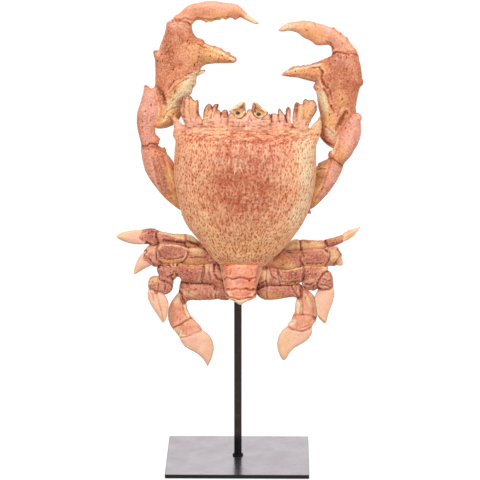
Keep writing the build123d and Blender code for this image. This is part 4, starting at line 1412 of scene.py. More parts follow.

# The cream strokes and daubs along the legs' upper edges are partly pale paint and partly painted highlight,
# where the upper faces catch the light.
LEFT_LEGS = (
    (
        Segment.drawn(
            LEFT_LEGS_VIEW, "left_leg_1_merus", LEG,
            "778,168 820,174 860,190 890,215 930,250 985,290 1010,340 960,350 900,348 850,340 810,318 "
            "775,300 781,230",
            daubs="cream 830,200 5 0.9 1.8 -15; ochre 840,290 5 0.6 2",
            strokes="785,235 850,255 920,280: 1.5 1.2 1.3",
        ),
        Segment.drawn(
            LEFT_LEGS_VIEW, "left_leg_1_carpus", LEG,
            "492,135 560,147 620,160 655,163 700,160 778,168 781,230 775,300 700,296 620,285 540,276 "
            "500,274 496,240 478,200 478,165",
            daubs="cream 720,182 3 0.9 2.2 -8; rose 620,210 4.5 0.9 4 -8; ochre 600,268 2.6 0.7 4 -4",
            strokes="500,150 580,165 660,188 770,215: 0.8 -0.6 0.5 cream 0.9; "
            "560,236 680,250 780,262: 1.4 1.1 1.2",
        ),
        Segment.drawn(
            LEFT_LEGS_VIEW, "left_leg_1_propodus", LEG,
            "325,121 370,111 420,105 462,110 492,135 478,165 478,200 496,240 500,274 470,290 440,294 "
            "415,284 395,264 372,252 345,243 320,225 305,205 326,178 332,150",
            daubs="rose 430,180 8 0.9 1.2; umber 430,125 3 0.5 2.4",
            strokes="325,190 350,160 380,150: 0.7 -0.5 0.6; 430,140 470,150 480,190: 0.7 0.5 0.7; "
            "375,245 420,270: 0.8 0.7 1",
            grain=KNOBBLY,
        ),
        Segment.drawn(
            LEFT_LEGS_VIEW, "left_leg_1_dactyl", LEG_TIP,
            "58,190 90,163 150,140 230,127 325,121 332,150 326,178 305,205 320,225 345,243 372,252 352,266"
            " 300,272 220,262 140,240 85,212",
            daubs="rose 260,200 9 0.75 1.8 5; ochre 110,190 5 0.9 1.4",
            strokes="90,170 160,148 240,135 310,130: 0.9 -0.3 0.3 ochre 0.9",
            grain=SMOOTH,
        ),
    ),
    (
        Segment.drawn(
            LEFT_LEGS_VIEW, "left_leg_2_merus", LEG,
            "810,318 850,303 900,303 950,318 1000,348 1040,380 1060,425 1030,452 990,475 900,490 800,482 "
            "735,465 765,435 790,390 806,350",
            daubs="cream 890,330 4 0.9 2.8 -8; rose 830,380 5 0.7 1.6; umber 930,400 6 0.5 1.8; "
            "ochre 900,440 5 0.8 2.8; umber 1003,428 1.6 1",
            strokes="800,350 880,352 980,352: 0.8 0.6 0.5; 780,415 860,408 990,405: 0.8 0.5 0.7",
            lift=-0.6,
        ),
        Segment.drawn(
            LEFT_LEGS_VIEW, "left_leg_2_carpus", LEG,
            "500,275 540,260 590,260 650,266 710,278 770,298 810,318 806,350 790,390 765,435 735,465 "
            "700,472 640,476 580,470 530,460 490,440 480,400 482,350 490,310",
            daubs="rose 630,345 9 0.6 1.9 -4; ochre 640,445 3.5 0.9 4; umber 505,385 3 0.6 1.6 80",
            strokes="498,320 540,280 640,276 740,298 805,325: 0.8 -0.5 0.6 cream 0.7; "
            "500,330 520,395 580,430 700,420 760,400: 0.8 0.6 0.7; "
            "795,360 770,410 745,440: 0.6 -0.5 0.5 cream 0.8",
            grain=KNOBBLY,
        ),
        Segment.drawn(
            LEFT_LEGS_VIEW, "left_leg_2_propodus", LEG,
            "362,330 380,305 395,283 440,286 500,275 490,310 482,350 480,400 490,440 520,452 510,485 "
            "478,507 450,482 425,455 395,425 358,410 352,385 375,350",
            daubs="rose 450,370 4 0.3; cream 430,310 5 0.3",
            strokes="480,300 470,360 480,430: 0.8 0.5 0.6; 368,325 372,345: 0.8 0.7 1; "
            "375,395 410,420 425,455: 0.7 0.6 0.9",
            grain=FINE,
        ),
        Segment.drawn(
            LEFT_LEGS_VIEW, "left_leg_2_dactyl", LEG_TIP,
            "243,575 243,550 262,480 290,420 320,375 362,330 375,350 352,385 358,410 395,425 425,455 "
            "440,482 400,500 350,525 300,555 262,580",
            daubs="rose 380,450 4 0.7 1.6 -40; ochre 265,550 4 0.5",
            grain=SMOOTH,
        ),
    ),
    (
        Segment.drawn(
            LEFT_LEGS_VIEW, "left_leg_3_root", LEG,
            "960,468 1000,455 1050,448 1085,468 1130,488 1180,540 1195,590 1192,660 1192,730 1150,728 "
            "1090,706 1060,690 1000,670 948,662 962,600 974,520",
            daubs="cream 1010,490 5 0.6 1.4 60; rose 1000,590 4 0.4 2 90; ochre 1140,700 5 0.4",
            strokes="1080,480 1072,560 1110,630 1170,650: 0.9 0.9 0.9; "
            "1030,470 1020,560 1040,640: 0.9 0.5 0.6; 1110,540 1140,580 1160,600: 1.6 -0.8 0.3",
            grain=FINE, stands_for=False, like="left_leg_3_merus",
        ),
        Segment.drawn(
            LEFT_LEGS_VIEW, "left_leg_3_merus", LEG,
            "700,448 760,458 840,470 920,474 960,468 974,520 962,600 948,662 900,672 850,668 790,662 "
            "740,645 712,605 688,590 668,558 690,500",
            daubs="rose 820,560 7 0.8 2; ochre 840,495 3 0.8 4 -4; rose 930,540 4 0.6 1.6 80",
            strokes="700,460 780,472 870,486 955,480: 0.8 -0.6 0.7 cream 0.9; "
            "955,500 948,580 935,640: 0.8 0.6 0.8; 700,480 690,540 680,570: 0.8 -0.6 0.6 cream 0.8",
            grain=KNOBBLY,
        ),
        Segment.drawn(
            LEFT_LEGS_VIEW, "left_leg_3_carpus", LEG,
            "478,515 500,488 540,463 600,453 660,453 700,448 690,500 668,558 688,590 690,612 658,642 "
            "662,667 640,700 610,672 560,652 520,642 498,620 505,590 485,560",
            daubs="rose 570,560 8 0.55 1.4 -30; ochre 600,470 3 0.7 3.6; umber 675,610 3 0.6",
            strokes="480,520 520,490 600,480 640,520: 0.8 0.5 0.7; 530,500 560,520 600,540: 1.2 -0.5 0.4; "
            "655,470 660,520 650,560: 0.8 0.6 0.7; 650,580 620,600 660,650: 0.8 0.6 0.9",
            grain=KNOBBLY,
        ),
        Segment.drawn(
            LEFT_LEGS_VIEW, "left_leg_3_propodus", LEG,
            "392,640 430,603 470,598 498,620 520,642 560,652 610,672 640,700 648,735 620,767 585,784 "
            "540,776 500,762 470,754 440,745 410,740 395,700",
            daubs="cream 440,640 5 0.5 1.6 20; rose 590,720 5 0.35",
            strokes="400,690 430,660 450,690: 0.8 -0.5 0.5; 560,660 575,700 560,750: 0.7 0.5 0.6; "
            "490,640 500,690 495,750: 0.7 0.4 0.5",
            grain=KNOBBLY,
        ),
        Segment.drawn(
            LEFT_LEGS_VIEW, "left_leg_3_dactyl", LEG_TIP,
            "388,738 410,740 440,745 470,754 500,762 540,776 568,800 592,835 607,880 602,940 590,1000 "
            "577,1050 545,1083 528,1060 490,1000 440,930 405,870 384,810",
            daubs="rose 440,790 3.5 0.9 1.4 -60; ochre 545,1040 3.5 0.8 1.6 60",
            strokes="480,780 500,860 530,960 545,1050: 0.9 0.4 0.5; 415,760 440,800 450,850: 0.8 0.5 0.6",
            grain=SMOOTH,
        ),
    ),
    (
        Segment.drawn(
            LEFT_LEGS_VIEW, "left_leg_4_root", LEG,
            "1060,640 1090,690 1150,715 1192,720 1197,768 1160,802 1112,832 1090,834 1085,790 1088,740 "
            "1075,690",
            daubs="ochre 1140,770 5 0.5; umber 1170,735 3 0.5 1.6",
            strokes="1110,720 1150,735 1185,730: 0.8 0.8 1",
            grain=FINE, stands_for=False, like="left_leg_4_merus",
        ),
        Segment.drawn(
            LEFT_LEGS_VIEW, "left_leg_4_merus", LEG,
            "728,640 790,632 850,636 900,642 950,640 1000,636 1060,640 1075,690 1088,740 1085,790 1090,834"
            " 1060,842 980,845 900,845 812,845 790,872 775,880 745,820 740,780 718,755 712,720 718,680",
            daubs="cream 820,780 4 0.35 2; rose 1000,690 4 0.5 2.4; rose 800,690 5 0.5 2",
            strokes="730,665 820,668 940,674 1060,672: 1 0.7 0.8; 960,700 1040,690 1075,730: 0.8 0.4 0.6; "
            "1088,760 1070,810 1080,830: 0.8 -0.5 0.5 cream 0.6",
            grain=KNOBBLY,
        ),
        Segment.drawn(
            LEFT_LEGS_VIEW, "left_leg_4_carpus", LEG_PALE,
            "718,755 740,780 745,820 775,880 792,900 802,950 822,990 848,1030 820,1042 780,1062 735,1092 "
            "700,1110 648,1142 622,1110 602,1060 593,1000 603,930 625,870 660,820 690,788",
            daubs="rose 680,990 4 0.2 1.8 80; cream 690,830 4 0.6 2 60; cream 620,1000 2.5 0.5 4 80",
            strokes="770,890 780,950 810,1010: 0.9 -0.7 0.5 cream 0.9; "
            "728,790 735,840 760,890: 0.8 0.7 0.9 ochre 0.6; 750,900 765,980 800,1030: 0.8 0.5 0.5",
        ),
        Segment.drawn(
            LEFT_LEGS_VIEW, "left_leg_4_propodus", LEG_PALE,
            "848,1030 882,1060 917,1100 942,1152 935,1172 880,1190 830,1210 780,1230 730,1232 698,1200 "
            "665,1162 648,1142 700,1110 735,1092 780,1062 820,1042",
            daubs="cream 690,1150 3 0.6 1.6 -40; cream 880,1090 3 0.4",
            strokes="735,1170 720,1225 775,1215: 0.7 -0.5 0.5 cream 0.8; "
            "690,1110 720,1105 760,1085 810,1060: 0.7 0.5 0.7",
            grain=FINE,
        ),
        Segment.drawn(
            LEFT_LEGS_VIEW, "left_leg_4_dactyl", LEG_TIP,
            "942,1152 990,1178 1037,1220 1064,1280 1074,1340 1062,1400 1042,1460 1008,1535 985,1492 "
            "950,1440 890,1390 820,1355 765,1320 735,1275 712,1235 730,1232 780,1230 830,1210 880,1190 "
            "935,1172",
            daubs="rose 830,1245 4 0.5 2.4 15; umber 1008,1528 0.9 0.8",
            strokes="1010,1210 1050,1290 1058,1370 1030,1450: 0.8 -0.3 0.2 ochre 0.6",
            grain=SMOOTH,
        ),
    ),
)

# The cream strokes and daubs along the legs' upper edges are partly pale paint and partly painted highlight,
# where the upper faces catch the light.
RIGHT_LEGS = (
    (
        Segment.drawn(
            RIGHT_LEGS_VIEW, "right_leg_1_merus", LEG,
            "560,270 600,238 640,220 680,220 702,235 704,290 715,345 660,360 600,364 520,360 490,335",
            daubs="cream 620,270 7 0.9 1.4; ochre 640,310 4 0.6 2",
            strokes="560,300 620,260 690,250: 0.8 0.4 0.4",
        ),
        Segment.drawn(
            RIGHT_LEGS_VIEW, "right_leg_1_carpus", LEG,
            "702,235 722,222 800,228 880,233 940,230 962,228 960,255 985,290 975,310 930,330 860,340 "
            "780,345 715,345 704,290",
            daubs="ochre 820,270 6 0.9 2.6; cream 860,300 5 0.8 3",
            strokes="725,230 740,236 800,245: 0.8 0.4 0.5",
        ),
        Segment.drawn(
            RIGHT_LEGS_VIEW, "right_leg_1_propodus", LEG,
            "962,228 990,213 1040,203 1090,190 1127,182 1140,200 1136,240 1110,267 1060,287 1020,297 "
            "985,290 960,255",
            daubs="rose 1040,250 4 0.7 1.6; ochre 1070,210 4 0.6 2 15",
            strokes="965,232 985,262: 0.8 0.5 0.9",
            grain=FINE,
        ),
        Segment.drawn(
            RIGHT_LEGS_VIEW, "right_leg_1_dactyl", LEG_TIP,
            "1322,88 1318,108 1292,140 1252,187 1202,222 1157,242 1136,240 1140,200 1127,182 1150,152 "
            "1180,140 1208,118 1240,120 1280,103",
            daubs="ochre 1200,180 6 0.7 1.8 40; cream 1290,115 4 0.6",
            strokes="1150,210 1200,195 1250,150: 0.6 0.3 0.5",
            grain=SMOOTH,
        ),
    ),
    (
        Segment.drawn(
            RIGHT_LEGS_VIEW, "right_leg_2_merus", LEG,
            "470,370 500,348 560,343 620,340 680,336 720,340 712,395 704,440 732,480 690,505 620,525 "
            "540,532 470,520 400,500 370,465 420,405",
            daubs="ochre 520,440 7 0.6 1.8; umber 560,420 6 0.3 1.8; rose 660,400 5 0.7; "
            "ochre 540,490 4 0.9 2.4; cream 600,505 3 0.6 3 4",
            strokes="560,350 640,362 710,350: 0.8 0.5 0.7 ochre 0.5",
            lift=-0.6,
        ),
        Segment.drawn(
            RIGHT_LEGS_VIEW, "right_leg_2_carpus", LEG,
            "720,340 760,322 830,316 910,318 965,328 990,350 1003,400 996,450 965,484 965,500 900,510 "
            "840,508 780,500 732,480 704,440 712,395",
            daubs="rose 860,430 5 0.9 2.8; umber 732,385 2.6 0.7 1.4 90; ochre 850,490 3 0.8 4",
            strokes="745,345 830,326 930,335 985,370: 0.8 -0.5 0.5; 740,400 730,360: 0.9 0.7 0.9; "
            "770,470 850,476 940,470: 0.9 0.5 0.7",
        ),
        Segment.drawn(
            RIGHT_LEGS_VIEW, "right_leg_2_propodus", LEG,
            "965,328 985,300 1040,290 1090,298 1107,330 1127,370 1112,400 1082,440 1052,484 1020,492 "
            "965,500 965,484 996,450 1003,400 990,350",
            daubs="cream 1050,380 8 0.6; umber 1003,420 2.4 0.6 1.4 90",
            strokes="1010,340 1012,400 990,450: 0.7 0.7 0.8; 1095,320 1112,360: 0.6 0.5 0.9; "
            "1060,400 1030,440: 0.8 -0.4 0.4",
            grain=FINE,
        ),
        Segment.drawn(
            RIGHT_LEGS_VIEW, "right_leg_2_dactyl", LEG_TIP,
            "1127,370 1146,440 1143,488 1100,492 1052,484 1082,440 1112,400",
            daubs="ochre 1120,460 4 0.6",
            grain=SMOOTH,
        ),
    ),
    (
        Segment.drawn(
            RIGHT_LEGS_VIEW, "right_leg_3_root", LEG,
            "250,495 340,480 400,486 460,505 480,520 474,580 482,640 500,690 430,695 360,695 300,695 "
            "245,692 240,600",
            daubs="ochre 300,560 5 0.5; cream 350,600 5 0.6 1.4 90; rose 420,600 5 0.3; "
            "umber 360,510 2.4 0.9 1.6 90",
            strokes="352,490 358,560 350,640 360,690: 0.8 0.8 1; 250,700 310,670 350,650: 0.8 0.7 0.9; "
            "390,520 410,600 460,630: 0.7 0.5 0.7",
            grain=FINE, stands_for=False, like="right_leg_3_merus",
        ),
        Segment.drawn(
            RIGHT_LEGS_VIEW, "right_leg_3_merus", LEG,
            "480,520 540,530 620,514 690,494 742,486 750,530 745,580 735,640 700,668 640,684 570,690 "
            "500,690 482,640 474,580",
            daubs="rose 620,590 7 0.8 1.8; ochre 600,660 4 0.4 2.4",
            strokes="488,530 560,545 640,530 740,502: 0.9 -0.6 0.7 cream 0.9; "
            "490,560 500,610 520,660: 0.7 0.5 0.8; 520,655 600,668 700,650: 0.8 0.4 0.7",
            grain=KNOBBLY,
        ),
        Segment.drawn(
            RIGHT_LEGS_VIEW, "right_leg_3_carpus", LEG,
            "742,486 800,488 880,490 940,490 992,498 990,540 962,562 930,592 900,640 880,690 890,722 "
            "850,747 790,742 740,722 715,690 735,640 745,580 750,530",
            daubs="rose 800,570 6 0.6; cream 960,520 4 0.6 1.6 40; umber 795,680 2.4 0.7 1.8; "
            "umber 775,590 2.4 0.5",
            strokes="900,640 940,590 990,540: 0.8 0.7 0.8; 760,650 820,650 870,620: 0.9 -0.5 0.4; "
            "750,680 800,690 840,670: 0.8 0.7 0.9; 750,500 850,505 970,508: 0.8 -0.4 0.5 cream 0.6",
            grain=KNOBBLY,
        ),
        Segment.drawn(
            RIGHT_LEGS_VIEW, "right_leg_3_propodus", LEG,
            "962,562 985,553 1022,563 1042,610 1047,670 1032,720 1012,745 960,738 910,735 890,722 880,690 "
            "900,640 930,592",
            daubs="rose 960,650 4 0.3; rose 1010,700 4 0.6",
            strokes="930,620 980,650 1020,640: 0.7 0.4 0.6; 910,690 960,690 1020,720: 0.7 0.4 0.7; "
            "970,570 940,610 915,660: 0.9 -0.4 0.4",
            grain=KNOBBLY,
        ),
        Segment.drawn(
            RIGHT_LEGS_VIEW, "right_leg_3_dactyl", LEG_TIP,
            "890,722 910,735 960,738 1012,745 1032,720 1047,690 1060,750 1052,830 1022,920 992,1000 "
            "972,1080 957,1090 920,1062 885,1022 873,980 868,900 855,830 848,800 870,775",
            daubs="rose 960,900 7 0.35 1.8 80; ochre 900,1030 3 0.6 1.8 -40; umber 895,745 2 0.5",
            strokes="880,1010 930,1055 965,1080: 0.7 0.4 0.8; "
            "862,830 880,920 885,1000: 0.8 -0.4 0.3 cream 0.6",
            grain=SMOOTH,
        ),
    ),
    (
        Segment.drawn(
            RIGHT_LEGS_VIEW, "right_leg_4_merus", LEG,
            "250,690 300,672 360,668 430,668 520,668 600,668 650,665 690,668 722,700 705,740 715,790 "
            "700,820 680,828 650,817 620,812 560,822 480,837 400,844 340,845 290,822 255,790 245,740",
            daubs="rose 480,720 3 0.4 3; ochre 440,815 4 0.9 3.4 5; ochre 300,790 5 0.6 1.4 -40; "
            "umber 285,722 2.4 0.9 1.8 25; rose 560,780 5 0.3 2",
            strokes="365,680 358,760 362,840: 0.8 0.7 0.7; "
            "260,735 300,712 380,690 480,690 620,690: 0.9 0.8 0.9; 620,700 640,760 680,815: 0.8 0.5 0.8",
        ),
        Segment.drawn(
            RIGHT_LEGS_VIEW, "right_leg_4_carpus", LEG_PALE,
            "722,700 745,715 782,740 812,770 852,810 872,870 882,940 887,1000 872,1040 820,1012 760,1000 "
            "700,998 650,1000 642,960 653,890 665,840 680,828 700,820 715,790 705,740",
            daubs="cream 680,920 3.4 0.9 2.6 90; cream 790,860 3 0.6 3 -65; rose 750,900 3 0.25 3 -70",
            strokes="722,720 715,820 730,920 730,990: 0.8 0.6 0.6; "
            "800,780 845,840 860,940 865,1010: 0.9 -0.6 0.4 cream 0.6; "
            "690,840 705,900 695,980: 0.7 0.4 0.6",
        ),
        Segment.drawn(
            RIGHT_LEGS_VIEW, "right_leg_4_propodus", LEG_PALE,
            "642,1005 650,1000 700,998 760,1000 820,1012 862,1035 872,1060 850,1082 830,1112 800,1142 "
            "740,1168 680,1168 620,1150 575,1120 578,1090 610,1055",
            daubs="cream 620,1080 3.4 0.8 1.6 50; cream 840,1080 3 0.5",
            strokes="650,1060 720,1040 800,1050: 0.8 -0.4 0.3; 700,1140 760,1120 810,1100: 0.7 0.4 0.5",
            grain=FINE,
        ),
        Segment.drawn(
            RIGHT_LEGS_VIEW, "right_leg_4_dactyl", LEG_TIP,
            "575,1120 540,1135 500,1180 475,1230 464,1290 469,1350 490,1410 514,1457 540,1468 566,1440 "
            "592,1390 642,1340 702,1305 762,1270 806,1225 829,1180 829,1130 800,1142 740,1168 680,1168 "
            "620,1150",
            daubs="ochre 520,1300 6 0.7 2.4 70; rose 740,1210 5 0.6 1.8 30",
            strokes="570,1180 545,1240: 0.5 0.3 0.5",
            grain=SMOOTH,
        ),
    ),
)

TAIL_PLATES = (
    Segment.drawn(
        WHOLE_PHOTO, "tail_plate_1", TAIL,
        "223.5,264.5 240,263.5 258.5,264.5 257,270 256,277.5 249,279.5 240,277 233,279.5 226,277.5 225,270",
        daubs="cream 240,265 3 0.5 4; rose 241,272 5 0.4 1.6",
        strokes="231,269 229.5,275: 0.8 0.4 0.4; 251,269 253,275: 0.8 0.4 0.4; "
        "236,270 241,274 246,271: 0.8 -0.3 0.3",
        lift=-1.5, fullness=0.8,
    ),
    Segment.drawn(
        WHOLE_PHOTO, "tail_plate_2", TAIL,
        "226,277.5 233,279.5 240,277 249,279.5 256,277.5 256.4,284 256.2,290 250,290.4 246,288.6 241,290 "
        "236,288.4 231,290.4 226.2,290 225.6,284",
        daubs="rose 236,284 6 0.6 1.4; cream 233.5,282 2 0.4 1.6 90",
        strokes="226,290 229,288.6: 0.8 0.7 1; 253,288.4 256,290: 0.8 0.7 1",
        lift=-1.5, fullness=0.8,
    ),
    Segment.drawn(
        WHOLE_PHOTO, "tail_plate_3", TAIL,
        "226.2,290 231,290.4 236,288.4 241,290 246,288.6 250,290.4 256.2,290 255.6,294 253,297.4 248,298 "
        "240,300 233,298 229,297 226.6,294",
        daubs="cream 229,294 3 0.6 1.4 -40; cream 252.5,294 3 0.5 1.4 40",
        strokes="230,294 236,295.6 244,295.6 251,293.6: 0.6 0.3 0.4",
        lift=-1.0, fullness=0.85,
    ),
    Segment.drawn(
        WHOLE_PHOTO, "tail_plate_4", TAIL,
        "226.6,294 229,297 233,298 240,300 248,298 253,297.4 255.6,294 254.6,297.6 252,299.8 247,301.4 "
        "243,303.4 239.8,305 236,302.4 232,300 228.6,298",
        daubs="cream 240,301 6 0.8 2.6",
        fullness=0.9,
    ),
)


# Back


@dataclass(frozen=True)
class Pits:
    """How the pits of the back are laid out, in millimetres."""

    row_gap: float = 4.0
    column_gap: float = 2.8
    half_length: float = 2.0
    half_width: float = 0.85
    depth: float = 0.7
    jitter_share: float = 0.22
    seed: int = 7
    end_margin: float = 3.0
    near_margin: float = 2.5
    far_margin: float = 2.0
    edge: Span = (0.35, 1.15)
    reach: float = 1.6
    most_columns: int = 40
    longer: Span = (0.7, 1.3)
    wider: Span = (0.8, 1.2)
    deeper: Span = (0.5, 1.0)
    left_out: float = 0.08
    turn: float = 0.14
    middle_place: float = 0.6
    middle_reach: Span = (0.36, 0.28)
    middle_left_out: float = 0.1
    middle_turn: float = 0.3
    middle_shorter: float = 0.12
    front_place: Span = (0.86, 0.94)


@dataclass
class Back:
    """The back: a domed shell with rows of pits that fan out from the tail."""

    columns: int = 356
    rows: int = 216
    dome: float = 36.0
    plane_y: float = -8.15
    lean: float = 2.6
    foot_x: float = 3.4
    foot_z: float = 208.5
    rear_roll: float = 15.0
    front_roll: float = 20.0
    crowding: float = 0.25
    smoothing: int = 15
    length: float = 160.0
    shade_angle: float = 60.0
    fine_seed: int = 3
    swell_seed: int = 5
    rim_edge: Span = (0.9, 0.97)
    rim_cream: float = 0.2
    rim_tone: float = 0.1
    pitted_edge: Span = (0.88, 0.96)
    pitted_ends: Span = (0.03, 0.97)
    pit_tone: float = -1.05
    between_tone: float = 0.25
    streak_sizes: Span = (1.35, 0.8)
    streak_stretch: float = 4.5
    streak_depth: float = 0.14
    streak_tone: float = 0.35
    streak_seed: int = 41
    streaks_end: Span = (0.84, 0.92)
    ripple_sizes: Span = (1.0, 0.55)
    ripple_depth: float = 0.5
    ripple_tone: float = 0.75
    ripples_start: Span = (0.84, 0.9)
    front_shade: float = 0.2
    front_rose: float = 0.3
    pits: Pits = field(default_factory=Pits)
    left_edge: Pixels = WHOLE_PHOTO.path(
        "226,267 221,265 217,262 211,256 204,247 197,238 190,230 184,220 180.5,210 178,200 176,190 "
        "174.6,180 174,170 174,160 174.5,150 175.5,142 175.5,136 178,130 183,125 190,121.5 199,119"
    )
    right_edge: Pixels = WHOLE_PHOTO.path(
        "262,266.5 266,265 272,259 280,252 287,245 295,235 302,225 307,215 310.5,205 313,195 315,185 "
        "316,175 316.3,165 316,155 316,146 315.5,140 314,134 310,128 303,124.5 296,122 290,120.5"
    )
    dome_shares: tuple[tuple[float, float], ...] = (
        (0.0, 0.26), (0.045, 0.38), (0.13, 0.56), (0.25, 0.78), (0.38, 0.92), (0.52, 0.99),
        (0.67, 1.0), (0.81, 0.90), (0.90, 0.74), (0.96, 0.56), (1.0, 0.44),
    )
    strokes: tuple[Stroke, ...] = WHOLE_PHOTO.strokes(
        "236,141.5 241,140.6 246,141: 0.8 0.6 0.8; 249,142 255,143: 0.8 0.6 0.8; "
        "196,131 206,127.6 222,125.4: 1.3 -0.6 0.4; 262,125 276,126.6 292,131: 1.3 -0.6 0.4; "
        "178,142 184,134 196,127: 1.4 -0.5 0.4; 312,144 308,135 298,128: 1.4 -0.5 0.4"
    )
    # The ochre daub at 242,242 is painted light: it brightens the low part of the back, which faces down and
    # away from the lamps.
    daubs: tuple[Daub, ...] = WHOLE_PHOTO.daubs(
        "umber 243,188 46 0.95 1.15 90; ochre 242,242 26 0.3 1.5 0; rose 266,158 26 0.7 1.3 60; "
        "rose 226,150 16 0.45 1.6 10; rose 222,180 16 0.35 2 90; rose 190,170 9 0.35 3 90; "
        "rose 200,126 8 0.4 1.6 10; cream 306,160 10 0.7 4 92; cream 300,210 8 0.6 3 62; "
        "cream 205,128 8 0.3 2 10; cream 290,128 8 0.3 2 -10; ochre 212,236 9 0.4 2.6 -48; "
        "ochre 250,250 12 0.4 2.6 20; ochre 283,236 9 0.35 2.6 52"
    )

    def local(self, x: float, z: float) -> tuple[float, float]:
        """Return how far a point is across the leaning body and along it."""
        turn = math.radians(self.lean)
        dx, dz = x - self.foot_x, z - self.foot_z
        return dx * math.cos(turn) - dz * math.sin(turn), dx * math.sin(turn) + dz * math.cos(turn)

    def edge(self, outline: Pixels) -> tuple[np.ndarray, np.ndarray]:
        """Return an outline's places along the body, rising, and across it."""
        places = np.array([self.local(*PHOTO.on_plane(pixel, self.plane_y)) for pixel in outline])
        order = np.argsort(places[:, 1])
        return places[order, 1], places[order, 0]

    def skin(self) -> tuple[np.ndarray, np.ndarray, np.ndarray]:
        """Return the bare dome's points and their shares across and along it.

        Returns:
            The points by row and column, each column's turn from -1 to 1, and each row's
            share of the length.
        """
        left_along, left_across = self.edge(self.left_edge)
        right_along, right_across = self.edge(self.right_edge)
        rear = max(left_along[0], right_along[0])
        front = min(left_along[-1], right_along[-1])
        share = (1 - np.cos(np.linspace(0, math.pi, self.rows + 1))) / 2
        share = self.crowding * share + (1 - self.crowding) * np.linspace(0, 1, self.rows + 1)
        along = rear + (front - rear) * share
        left = np.interp(along, left_along, left_across)
        right = np.interp(along, right_along, right_across)
        kernel = np.hanning(self.smoothing)
        kernel /= kernel.sum()
        margin = self.smoothing // 2
        left, right = (np.convolve(np.pad(e, margin, "edge"), kernel, "valid") for e in (left, right))
        knots = np.array(self.dome_shares)
        height = self.dome * np.interp(share, knots[:, 0], knots[:, 1])
        for ends, roll in ((along - rear, self.rear_roll), (front - along, self.front_roll)):
            turn = np.clip(ends / roll, 0, 1)
            height = height * np.sqrt(1 - (1 - turn) ** 2)
        phi = np.linspace(-math.pi / 2, math.pi / 2, self.columns + 1)
        middle, half = (left + right)[:, None] / 2, (right - left)[:, None] / 2
        across = middle + half * np.sin(phi)[None, :]
        lift = height[:, None] * np.cos(phi)[None, :]
        turn = math.radians(self.lean)
        x = self.foot_x + across * math.cos(turn) + along[:, None] * math.sin(turn)
        z = self.foot_z - across * math.sin(turn) + along[:, None] * math.cos(turn)
        return np.stack((x, self.plane_y - lift, z), axis=2), phi / (math.pi / 2), share

    def grid(self, name: str) -> tuple[bpy.types.Object, np.ndarray, np.ndarray]:
        """Add a flat grid and return it with each point's row and column."""
        bpy.ops.object.select_all(action="DESELECT")
        bpy.ops.mesh.primitive_grid_add(x_subdivisions=self.columns, y_subdivisions=self.rows, size=2)
        work = Bench.named(name)
        flat = Bench.positions(work) * MM
        row = np.rint((flat[:, 1] + 1) / 2 * self.rows).astype(int)
        return work, row, np.rint((flat[:, 0] + 1) / 2 * self.columns).astype(int)

    def pit_mask(self, skin: np.ndarray, turn: np.ndarray, share: np.ndarray) -> np.ndarray:
        """Return how deep in a pit each point of the dome is, from 0 to 1."""
        pits = self.pits
        chance = np.random.default_rng(pits.seed)
        mask = np.zeros(skin.shape[:2])
        down = np.gradient(skin, axis=0)
        side = np.gradient(skin, axis=1)
        row_step = np.linalg.norm(down, axis=2)
        column_step = np.linalg.norm(side, axis=2)
        travelled = np.concatenate(([0], np.cumsum(row_step[1:, self.columns // 2])))
        flip = 0.0
        for place in np.arange(pits.end_margin, travelled[-1] - pits.end_margin, pits.row_gap):
            row = int(np.searchsorted(travelled, place))
            arc = np.concatenate(([0], np.cumsum(column_step[row, 1:])))
            flip = 0.5 - flip
            first = pits.near_margin + flip * pits.column_gap
            for spot in np.arange(first, arc[-1] - pits.far_margin, pits.column_gap):
                spot += chance.normal(0, pits.jitter_share) * pits.column_gap
                at_row = row + chance.normal(0, pits.jitter_share) * pits.row_gap / row_step[row].mean()
                column = float(np.interp(spot, arc, np.arange(len(arc))))
                i, j = int(np.clip(at_row, 1, self.rows - 1)), int(np.clip(column, 1, self.columns - 1))
                off_side = turn[j] / pits.middle_reach[0]
                off_row = (share[i] - pits.middle_place) / pits.middle_reach[1]
                middle_share = math.exp(-(off_side ** 2)) * math.exp(-(off_row ** 2))
                front_share = float(smooth_step(np.array(share[i]), *pits.front_place))
                heading = chance.normal(0, pits.turn + pits.middle_turn * middle_share)
                heading += front_share * math.pi / 2
                length = pits.half_length * chance.uniform(*pits.longer)
                length *= 1 - pits.middle_shorter * middle_share
                width = pits.half_width * chance.uniform(*pits.wider)
                depth = chance.uniform(*pits.deeper)
                if chance.random() < pits.left_out + pits.middle_left_out * middle_share:
                    continue
                reach_i = int(pits.reach * length / row_step[i, j]) + 2
                reach_j = min(int(pits.reach * length / column_step[i, j]) + 2, pits.most_columns)
                window = np.s_[max(i - reach_i, 0):i + reach_i + 1, max(j - reach_j, 0):j + reach_j + 1]
                away = skin[window] - skin[i, j]
                a = down[i, j] / np.linalg.norm(down[i, j])
                b = side[i, j] - a * (side[i, j] @ a)
                b /= np.linalg.norm(b)
                along, across = away @ a, away @ b
                c, s = math.cos(heading), math.sin(heading)
                radius = np.hypot((along * c + across * s) / length, (across * c - along * s) / width)
                mask[window] = np.maximum(mask[window], depth * (1 - smooth_step(radius, *pits.edge)))
        return mask

